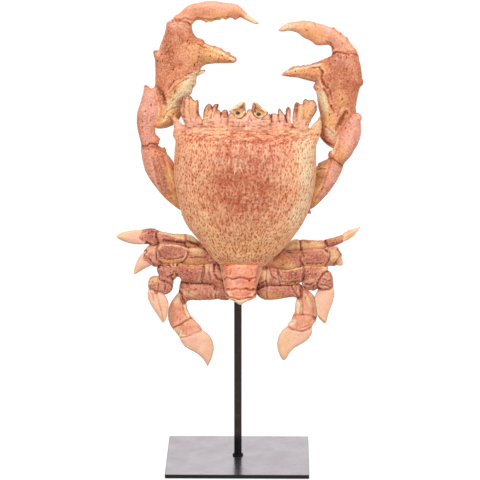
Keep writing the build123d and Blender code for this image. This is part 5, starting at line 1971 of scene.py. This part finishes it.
    def build(self, paints: Paints) -> None:
        """Build the back with its pits, streaks, wrinkles and rim."""
        work, row, column = self.grid("cast_back")
        skin, turn, share = self.skin()
        pits = self.pit_mask(skin, turn, share)
        Bench.move_to(work, skin[row, column])
        relief = Relief(work)
        edge = np.abs(turn[column])
        rim = smooth_step(edge, *self.rim_edge)
        inside = 1 - smooth_step(edge, *self.pitted_edge)
        rear_end, front_end = self.pitted_ends
        ends = smooth_step(share[row], 0.0, rear_end) * (1 - smooth_step(share[row], front_end, 1.0))
        deep = pits[row, column] * inside * ends
        relief.height -= self.pits.depth * deep
        relief.rub(self.pit_tone * deep + self.between_tone * (1 - deep) * inside)
        steps = np.linalg.norm(np.diff(skin, axis=1), axis=2)
        widest = steps.sum(axis=1).max()
        along = share[row] * self.length / self.streak_stretch
        flow = np.stack((turn[column] * widest / 2, np.zeros(len(row)), along), axis=1)
        streak = Scatter.layered(flow, *self.streak_sizes, self.streak_seed)
        back_share = inside * (1 - smooth_step(share[row], *self.streaks_end))
        relief.height += self.streak_depth * streak * back_share
        relief.rub(self.streak_tone * streak * back_share)
        crosswise = relief.points / np.array(RIPPLE_STRETCH)
        ripple = Scatter.layered(crosswise, *self.ripple_sizes, RIPPLE_SEED)
        front_band = smooth_step(share[row], *self.ripples_start) * inside
        relief.height += self.ripple_depth * ripple * front_band
        relief.rub((self.ripple_tone * ripple - self.front_shade) * front_band)
        relief.lay("rose", self.front_rose * front_band)
        relief.grain(SHELL_FINE, self.fine_seed, inside * ends)
        relief.grain(SHELL_SWELL, self.swell_seed, ends)
        relief.masks["cream"] += self.rim_cream * rim
        relief.rub(self.rim_tone * rim)
        for stroke in self.strokes:
            relief.stroke(stroke)
        for daub in self.daubs:
            relief.daub(daub)
        relief.height[np.abs(relief.points[:, 1] - self.plane_y) < 0.01] = 0
        relief.finish()
        Bench.fill_edge(work)
        Bench.hand_over(work, paints, BACK, "carapace", self.shade_angle)


@dataclass(frozen=True)
class Join:
    """Where the lobes run onto the back, in the photograph's pixels, and how they rise to it."""

    rows: Span = (110.0, 122.0)
    middle_column: float = 245.0
    reaches: Span = (42.0, 60.0)
    paint_rows: Span = (113.0, 121.0)
    flatten: Triple = (1.0, 0.0, 0.2)
    uneven: float = 0.5
    uneven_size: float = 3.2
    uneven_seed: int = 61
    ripple_size: float = 1.0
    ripple_depth: float = 0.5
    ripple_tone: float = 0.7
    low_tone: float = 0.05
    low_rose: float = 0.2
    # painted shade along the outline of each lobe: how far it reaches, in pixels, and how dark it is
    edge_width: float = 1.3
    painted_edge_shade: float = -0.8


JOIN = Join()


@dataclass(frozen=True)
class Lobe:
    """One flat tooth or lobe of the front edge, drawn on the photograph."""

    outline: Pixels
    middle: float = -13.0
    half: float = 3.6
    finish: CastResin = LOBE
    rise: float = 4.5
    size: float = 1.0
    rim: float = 0.7
    voxel: float = 0.45
    strokes: tuple[Stroke, ...] = ()
    daubs: tuple[Daub, ...] = ()

    @classmethod
    def drawn(
        cls, view: Enlargement, outline: str, daubs: str = "", strokes: str = "", **how: object
    ) -> "Lobe":
        """Return a lobe that is drawn as text on one enlargement.

        Args:
            view: The enlargement.
            outline: The lobe's outline.
            daubs: Its daubs' rows.
            strokes: Its strokes' rows.
            how: Any other field of the lobe.

        Returns:
            The lobe.
        """
        return cls(view.path(outline), daubs=view.daubs(daubs), strokes=view.strokes(strokes), **how)

    def build(self, name: str, seed: int) -> bpy.types.Object:
        """Return the lobe as an object of its own.

        Args:
            name: Its name.
            seed: Which pattern its grain has.

        Returns:
            The lobe, with its relief and masks.
        """
        centre = [sum(place) / len(self.outline) for place in zip(*self.outline)]
        drawn = tuple(tuple(c + (p - c) * self.size for c, p in zip(centre, pixel)) for pixel in self.outline)
        slab = Slab(drawn, self.middle, self.half, self.rim, self.voxel)
        work = slab.build(name)
        points = Bench.positions(work)
        across, down = PHOTO.pixels(points).T
        off_middle = np.abs(across - JOIN.middle_column)
        onto_back = smooth_step(down, *JOIN.rows) * (1 - smooth_step(off_middle, *JOIN.reaches))
        uneven = Scatter.noise(points * np.array(JOIN.flatten), JOIN.uneven_size, JOIN.uneven_seed)
        points[:, 1] -= self.rise * onto_back * (1 + JOIN.uneven * uneven)
        Bench.move_to(work, points)
        relief = Relief(work)
        relief.grain(FINE, seed)
        edge = distance_to(relief.pixels, slab.lines())
        low = smooth_step(relief.pixels[:, 1], *JOIN.paint_rows) * (self.rise > 0)
        # painted shade: each lobe is darkened along its outline and so in the gaps between lobes, but not
        # where it runs onto the back
        relief.rub(JOIN.painted_edge_shade * np.exp(-((edge / JOIN.edge_width) ** 2)) * (1 - low))
        crosswise = relief.points / np.array(RIPPLE_STRETCH)
        ripple = Scatter.noise(crosswise, JOIN.ripple_size, RIPPLE_SEED)
        relief.height += JOIN.ripple_depth * ripple * low
        relief.rub((JOIN.ripple_tone * ripple + JOIN.low_tone) * low)
        relief.lay("rose", JOIN.low_rose * low)
        relief.dress(self.strokes, self.daubs)
        return work


LOBES = (
    Lobe.drawn(
        FRONT_VIEW,
        "172,350 150,305 130,262 114,205 118,150 133,102 138,66 155,56 168,82 190,80 203,58 226,58 246,92 "
        "266,110 288,92 301,108 303,160 302,200 308,238 332,265 345,320 330,400 200,400",
        daubs="umber 135,120 2.8 0.8 3.4 80; umber 222,75 1.6 0.7 1.4; umber 298,190 2.6 0.9 3.4 90; "
        "umber 130,240 1.6 0.5 2.4 -60; ochre 230,150 5 0.6; rose 250,320 6 0.6 1.6",
        strokes="160,300 150,200 165,110: 0.9 0.5 0.5; 225,310 205,200 210,90: 0.8 0.3 0.3; "
        "190,280 180,180 190,110: 1.2 -0.4 0.4; 260,290 262,200 262,130: 1.2 -0.4 0.4",
    ),
    Lobe.drawn(
        FRONT_VIEW,
        "345,300 345,225 354,182 374,150 400,130 426,143 432,166 446,158 450,143 470,136 497,134 497,160 "
        "484,188 510,200 520,222 535,200 562,187 586,203 592,232 604,262 620,330 600,400 360,400 330,330",
        daubs="umber 408,170 3.2 0.95 1.8 60; umber 478,160 3 0.95 1.4 60; umber 482,218 1.8 0.9 1.6 30; "
        "umber 572,235 3.6 1 1.6 80; rose 500,300 8 0.6 1.8; umber 545,235 1.6 0.6",
        strokes="432,168 436,220 410,280: 0.8 0.9 0.9; 520,225 515,260 520,300: 0.8 0.8 0.8; "
        "484,190 455,215 450,260: 0.7 0.6 0.7; 385,170 375,230 372,290: 0.8 -0.5 0.5 ochre 0.8; "
        "560,210 565,250 560,290: 0.8 -0.4 0.4",
        middle=-13.4,
    ),
    Lobe.drawn(
        FRONT_VIEW,
        "590,300 590,250 602,225 622,218 642,232 658,258 684,280 720,280 750,256 770,220 784,190 800,182 "
        "816,192 832,225 852,260 886,280 925,270 955,246 985,228 1003,255 1012,310 1020,400 580,400",
        daubs="rose 800,300 9 0.9 2.4; umber 800,205 1.4 0.6",
        strokes="760,300 785,240 800,200 818,240 850,300: 1 -0.6 0.4; "
        "780,320 800,260 825,320: 0.8 0.5 0.6; 700,310 690,350: 0.8 0.4 0.5",
        middle=-17.0, half=3.0,
    ),
    Lobe.drawn(
        FRONT_VIEW,
        "990,330 988,270 985,228 1005,240 1015,228 1045,224 1076,240 1077,190 1090,176 1112,194 1132,232 "
        "1152,244 1154,190 1164,168 1186,163 1202,190 1204,232 1197,290 1215,340 1200,400 1000,400",
        daubs="umber 1004,268 3.4 1 1.8 90; umber 1172,195 2.6 0.95 2 80; umber 1090,195 1.4 0.7; "
        "rose 1100,300 8 0.7 1.8",
        strokes="1150,230 1152,270 1165,320: 0.8 0.9 0.9; 1078,240 1085,290 1100,330: 0.8 0.7 0.7; "
        "1010,240 1008,300: 0.9 0.7 0.9; 1180,190 1182,250 1180,300: 0.8 -0.5 0.5; "
        "1100,210 1115,260 1130,310: 0.8 -0.4 0.4",
        middle=-13.4,
    ),
    Lobe.drawn(
        FRONT_VIEW,
        "1222,340 1220,290 1224,230 1234,180 1238,142 1258,116 1280,128 1300,144 1323,138 1323,108 1346,85"
        " 1366,98 1390,104 1416,92 1442,108 1457,145 1462,190 1442,232 1412,282 1382,340 1372,385 1340,430"
        " 1260,410",
        daubs="umber 1255,190 3.2 1 2.6 85; umber 1232,270 1.6 0.7 2 80; umber 1345,95 1.2 0.5; "
        "umber 1440,120 1.6 0.6 1.6 -50; ochre 1340,220 9 0.6",
        strokes="1262,300 1262,220 1266,160: 1.1 0.9 0.6; 1320,330 1330,240 1330,160: 0.8 0.3 0.3; "
        "1300,310 1300,230 1300,165: 1.2 -0.4 0.4; 1360,290 1390,200 1400,130: 1.2 -0.4 0.4",
    ),
    Lobe.drawn(
        FRONT_VIEW,
        "60,470 42,437 52,400 55,360 45,305 40,262 56,252 86,275 116,310 150,345 178,352 200,400 160,470 "
        "90,520",
        daubs="rose 90,340 6 0.9; umber 50,262 1.4 0.5",
        strokes="60,270 90,330 120,400: 0.8 -0.5 0.5",
        middle=-11.5, half=3.0,
    ),
    Lobe.drawn(
        FRONT_VIEW,
        "1370,400 1392,380 1420,345 1460,300 1486,262 1500,300 1508,350 1500,420 1478,480 1456,530 "
        "1448,590 1400,600 1350,500",
        daubs="ochre 1460,400 7 0.6 1.4 60",
        strokes="1410,480 1450,400 1480,320: 1 -0.5 0.4",
        middle=-11.5, half=3.0,
    ),
)
EYE_PLATES = (
    Lobe.drawn(
        FRONT_VIEW,
        "585,215 600,196 606,184 630,169 670,144 710,119 736,103 749,115 747,150 741,176 748,186 757,176 "
        "766,196 764,236 730,278 684,284 650,264 630,240",
        daubs="umber 708,178 4.2 0.9 1.5 50; umber 655,205 2 0.7 1.8",
        strokes="612,196 650,176 700,142 740,114: 0.7 -0.5 0.5 cream 0.8; "
        "622,222 650,246 686,270 722,264 756,214: 0.7 -0.6 0.6 cream 0.9; "
        "640,200 690,195 730,160: 0.8 0.8 0.3",
        middle=-14.2, half=2.0, finish=PALE, rise=0.0, size=0.9,
    ),
    Lobe.drawn(
        FRONT_VIEW,
        "838,98 866,113 902,149 937,184 976,204 990,220 984,236 950,262 925,282 888,288 850,268 832,234 "
        "836,200 842,160",
        daubs="umber 866,178 4 0.9 1.6 -60; umber 930,215 2.4 0.7 1.6 -20",
        strokes="842,108 880,145 930,190 975,212: 0.7 -0.5 0.5 cream 0.8; "
        "842,232 862,256 890,270 925,262 962,234: 0.7 -0.6 0.6 cream 0.9; "
        "850,170 880,200 930,210: 0.8 0.8 0.3",
        middle=-14.2, half=2.0, finish=PALE, rise=0.0, size=0.9,
    ),
)


@dataclass
class Front:
    """The toothed front edge, the plates beside the eyes and the eyes."""

    eye_radius: float = 2.2
    eye_y: float = -15.6
    eye_shape: Triple = (1.15, 1.0, 0.92)
    eye_segments: int = 40
    eye_rings: int = 24
    eye_swell: float = 0.12
    eye_swell_size: float = 1.4
    eye_seed: int = 5
    stalk_start: float = 0.5
    stalk: Triple = (0.0, 2.0, -0.8)
    lobe_seed: int = 400
    lobe_seed_step: int = 9
    eyes: tuple[tuple[str, Pixel], ...] = (
        ("left_eye", FRONT_VIEW.at(685, 224)), ("right_eye", FRONT_VIEW.at(888, 236)),
    )

    def eye(self, node: str, pixel: Pixel, paints: Paints) -> None:
        """Build one eye on its short stalk.

        Args:
            node: The CAD node that it stands for.
            pixel: Its middle on the photograph.
            paints: The materials by name.
        """
        x, z = PHOTO.on_plane(pixel, self.eye_y)
        bpy.ops.object.select_all(action="DESELECT")
        bpy.ops.mesh.primitive_uv_sphere_add(
            segments=self.eye_segments, ring_count=self.eye_rings, radius=self.eye_radius * MM,
            location=(x * MM, self.eye_y * MM, z * MM),
        )
        eye = Bench.named(f"cast_{node}")
        eye.scale = self.eye_shape
        Bench.settle(eye)
        Bench.edit(eye)
        bpy.ops.mesh.select_all(action="DESELECT")
        Bench.close()
        back = (self.eye_y + self.stalk_start * self.eye_radius) * MM
        for polygon in eye.data.polygons:
            polygon.select = polygon.center.y > back
        bpy.ops.object.mode_set(mode="EDIT")
        stalk = tuple(step * MM for step in self.stalk)
        bpy.ops.mesh.extrude_region_move(TRANSFORM_OT_translate={"value": stalk})
        bpy.ops.mesh.select_all(action="SELECT")
        bpy.ops.mesh.normals_make_consistent(inside=False)
        Bench.close()
        relief = Relief(eye)
        relief.height += self.eye_swell * Scatter.noise(relief.points, self.eye_swell_size, self.eye_seed)
        relief.finish()
        Bench.only(eye)
        bpy.ops.object.shade_smooth()
        eye.data.materials.append(paints["eye_gloss"])
        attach(eye, "crab")
        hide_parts(node)

    def build(self, paints: Paints) -> None:
        """Build the lobes as one piece, the plates as one, and each eye."""
        pieces = (("cast_front_edge", LOBES, None), ("cast_eye_plates", EYE_PLATES, "antenna_plates"))
        for name, lobes, node in pieces:
            seeds = [self.lobe_seed + self.lobe_seed_step * index for index in range(len(lobes))]
            made = [lobe.build(f"{name}_{index}", seeds[index]) for index, lobe in enumerate(lobes)]
            work = Bench.join(*made)
            work.name = name
            Bench.hand_over(work, paints, lobes[0].finish, node)
        for node, pixel in self.eyes:
            self.eye(node, pixel, paints)


# Underside


@dataclass
class Underside:
    """The belly plate, the mouth, the limbs' roots and the flanks under the back."""

    flank_bulge: float = 2.0
    flank_inset: float = 0.985
    flank_rows: int = 110
    flank_columns: int = 130
    flank_gap: float = 0.05
    flank_rise: float = 6.0
    flank_power: float = 0.6
    flank_inner: Span = (0.03, 0.2)
    flank_seed: int = 71
    ring_gap: float = 3.4
    ring_depth: float = 0.25
    ring_tone: float = 0.3
    ring_squash: float = 0.9
    shade_angle: float = 60.0
    groove_width: float = 1.3
    groove_depth: float = 1.2
    groove_tone: float = 0.8
    groove_ends: Span = (3.0, 7.0)
    groove_bend: float = 0.006
    groove_share: float = 0.9
    midline_width: float = 1.4
    flap_half: float = 15.0
    flap_taper: float = 0.05
    flap_width: float = 1.2
    flap_ends: Span = (60.0, 75.0)
    facing_start: float = 0.05
    facing_span: float = 0.3
    grain_seed: int = 90
    grooves: tuple[float, ...] = (8.0, 26.0, 46.0, 68.0, 92.0, 118.0)
    hidden: tuple[tuple[str, CastResin, Grain, float], ...] = (
        ("sternum", BELLY, ROUGH, 0.9),
        ("mouth_plates", BELLY, FINE, 0.7),
        ("left_limb_roots", LEG, KNOBBLY, 0.6),
        ("right_limb_roots", LEG, KNOBBLY, 0.6),
    )

    def flanks(self, paints: Paints) -> None:
        """Build the thin swollen lining between the back's rim and the belly plate."""
        back = Back(rows=self.flank_rows, columns=self.flank_columns)
        skin, _, _ = back.skin()
        work, row, column = back.grid("cast_flanks")
        points = skin[row, column]
        lift = (back.plane_y - points[:, 1]) / back.dome
        middle = points.mean(0)
        for axis in (0, 2):
            points[:, axis] = middle[axis] + (points[:, axis] - middle[axis]) * self.flank_inset
        bulge = self.flank_bulge * np.clip(lift * self.flank_rise, 0, 1) ** self.flank_power
        points[:, 1] = back.plane_y + self.flank_gap + bulge
        Bench.move_to(work, points)
        relief = Relief(work)
        relief.normals = np.where(relief.normals[:, 1:2] < 0, -relief.normals, relief.normals)
        inner = smooth_step(lift, *self.flank_inner)
        relief.grain(FLANK, self.flank_seed, inner)
        from_middle = relief.points - middle
        rings = np.sin(np.hypot(from_middle[:, 0], from_middle[:, 2] * self.ring_squash) / self.ring_gap)
        relief.height += self.ring_depth * rings * inner
        relief.rub(self.ring_tone * rings * inner)
        relief.finish()
        Bench.fill_edge(work)
        Bench.hand_over(work, paints, BELLY, None, self.shade_angle)

    def belly_plates(self, relief: Relief) -> None:
        """Cut the belly's plates and its folded flap into a relief."""
        behind = np.clip((relief.normals[:, 1] - self.facing_start) / self.facing_span, 0, 1)
        back = Back()
        places = np.array([back.local(x, z) for x, z in relief.points[:, (0, 2)]])
        across, along = places[:, 0], places[:, 1]
        bend = along - self.groove_bend * across ** 2
        outer = smooth_step(np.abs(across), *self.groove_ends)
        offsets = [(bend - place) / self.groove_width for place in self.grooves]
        cuts = [self.groove_share * np.exp(-(offset ** 2)) * outer for offset in offsets]
        cuts.append(np.exp(-((across / self.midline_width) ** 2)))
        flap = np.abs(np.abs(across) - self.flap_half + self.flap_taper * along)
        rear = 1 - smooth_step(along, *self.flap_ends)
        cuts.append(self.groove_share * np.exp(-((flap / self.flap_width) ** 2)) * rear)
        for cut in cuts:
            relief.height -= self.groove_depth * cut * behind
            relief.rub(-self.groove_tone * cut * behind)

    def carved(self, node: str, paints: Paints, finish: CastResin, grain: Grain, voxel: float) -> None:
        """Build one hidden piece from its CAD node, with grain and, on the belly, its plates.

        Args:
            node: The CAD node.
            paints: The materials by name.
            finish: Its paint.
            grain: How rough it is.
            voxel: The even mesh's size, in millimetres.
        """
        work = Bench.copy_node(node, f"cast_{node}")
        Bench.modify(work, "REMESH", mode="VOXEL", voxel_size=voxel * MM)
        Bench.modify(work, "SMOOTH", factor=0.5, iterations=3)
        relief = Relief(work)
        if node == "sternum":
            self.belly_plates(relief)
        relief.grain(grain, self.grain_seed)
        relief.finish()
        Bench.hand_over(work, paints, finish, node)

    def build(self, paints: Paints) -> None:
        """Build everything under the back."""
        self.flanks(paints)
        for node, finish, grain, voxel in self.hidden:
            self.carved(node, paints, finish, grain, voxel)


# Stand


@dataclass
class Stand:
    """The plate, the rod and what fixes them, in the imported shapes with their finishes."""

    ring_radius: float = 4.75
    bead_radius: float = 1.0
    ring_height: float = 6.0
    ring_segments: int = 120
    bead_segments: int = 24
    swell: float = 0.12
    swell_size: float = 1.6
    ripple: float = 0.06
    ripple_size: float = 0.7
    seed: int = 2

    def foot_bead(self, paints: Paints) -> None:
        """Build the uneven bead around the rod's foot."""
        bpy.ops.object.select_all(action="DESELECT")
        bpy.ops.mesh.primitive_torus_add(
            major_segments=self.ring_segments, minor_segments=self.bead_segments,
            major_radius=self.ring_radius * MM, minor_radius=self.bead_radius * MM,
            location=(0, 0, self.ring_height * MM),
        )
        work = Bench.named("foot_bead")
        Bench.settle(work)
        relief = Relief(work)
        swell = self.swell * Scatter.noise(relief.points, self.swell_size, self.seed)
        relief.height += swell + self.ripple * Scatter.noise(relief.points, self.ripple_size, self.seed + 1)
        relief.finish()
        Bench.only(work)
        bpy.ops.object.shade_smooth()
        work.data.materials.append(paints["powder_coat"])
        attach(work, "stand")
        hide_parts("rod_foot_ring")
        LOG.info("foot_bead: %d faces", len(work.data.polygons))

    def build(self, paints: Paints) -> None:
        """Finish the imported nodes, and build the bead."""
        finishes = {
            "base_plate": "lacquered_steel",
            "support_rod": "powder_coat",
            "base_screw": "turned_steel",
            "rod_sleeve": "turned_steel",
            "floor_pads": "pad_rubber",
        }
        for node, finish in finishes.items():
            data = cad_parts[node].data
            data.materials.clear()
            data.materials.append(paints[finish])
            LOG.info("%s: finished as %s", node, finish)
        self.foot_bead(paints)


# Studio


class Lamp(Enum):
    """The soft lamps: place, size and power, in metres and watts."""

    KEY = ((-1.6, -2.4, 2.0), 1.6, 51.0)
    FILL = ((2.0, -2.4, 0.6), 2.2, 44.0)
    TOP = ((0.2, 0.4, 2.9), 1.6, 20.0)


@dataclass
class Studio:
    """A pale floor, white surroundings and soft lamps."""

    floor_size: float = 24.0
    floor_paint: Colour = paint(150, 150, 150)
    floor_glow: float = 0.84
    surround: float = 0.64
    aim: Triple = (0.0, 0.0, 0.26)

    def world(self) -> None:
        """Light the scene evenly from all round, and show white to the camera and in gloss."""
        graph = Graph("surround", "worlds")
        levels = {"Value": graph.seen(), "To Min": self.surround, "To Max": 1.0}
        strength = graph.node("ShaderNodeMapRange", None, levels).outputs[0]
        background = graph.node("ShaderNodeBackground", None, {"Color": (1, 1, 1, 1), "Strength": strength})
        graph.node("ShaderNodeOutputWorld", None, {"Surface": background.outputs[0]})
        bpy.context.scene.world = graph.owner

    def floor(self) -> None:
        """Lay the pale floor, which keeps the shadow."""
        bpy.ops.object.select_all(action="DESELECT")
        bpy.ops.mesh.primitive_plane_add(size=self.floor_size, location=(0, 0, 0))
        floor = Bench.named("floor")
        graph = Graph("pale_floor")
        seen = graph.seen()
        diffuse = graph.node("ShaderNodeBsdfDiffuse", None, {"Color": self.floor_paint})
        sockets = {"Color": (1, 1, 1, 1), "Strength": seen * self.floor_glow}
        glow = graph.node("ShaderNodeEmission", None, sockets)
        both = graph.node("ShaderNodeAddShader", None, {0: diffuse.outputs[0], 1: glow.outputs[0]})
        graph.node("ShaderNodeOutputMaterial", None, {"Surface": both.outputs[0]})
        floor.data.materials.append(graph.owner)

    def lamps(self) -> None:
        """Hang the soft lamps, each aimed at the crab."""
        for lamp in Lamp:
            place, size, power = lamp.value
            data = bpy.data.lights.new(f"lamp_{lamp.name.lower()}", "AREA")
            data.size = size
            data.energy = power
            light = bpy.data.objects.new(data.name, data)
            light.location = place
            light.rotation_euler = (Vector(self.aim) - Vector(place)).to_track_quat("-Z", "Y").to_euler()
            bpy.context.scene.collection.objects.link(light)

    def build(self) -> None:
        """Set up the whole studio."""
        bpy.context.scene.view_settings.view_transform = "Standard"
        self.world()
        self.floor()
        self.lamps()
        PHOTO.build()


def main() -> None:
    """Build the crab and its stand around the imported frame, in order."""
    logging.basicConfig(level=logging.INFO, format="%(name)s %(message)s")
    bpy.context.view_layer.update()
    finishes = (
        CLAW, FINGER, BACK, LOBE, LEG, LEG_PALE, LEG_TIP, TAIL, BELLY, PALE,
        LacqueredSteel(), PowderCoat(), PlainMetal(), PadRubber(), EyeGloss(),
    )
    paints = {finish.name: finish.make() for finish in finishes}
    Stand().build(paints)
    Back().build(paints)
    Front().build(paints)
    Underside().build(paints)
    for index, segments in enumerate((TAIL_PLATES, LEFT_CLAW, RIGHT_CLAW, *LEFT_LEGS, *RIGHT_LEGS)):
        Casting(segments, Casting.SEED_GAP * index).build(paints)
    Studio().build()


if __name__ == "__main__":
    main()
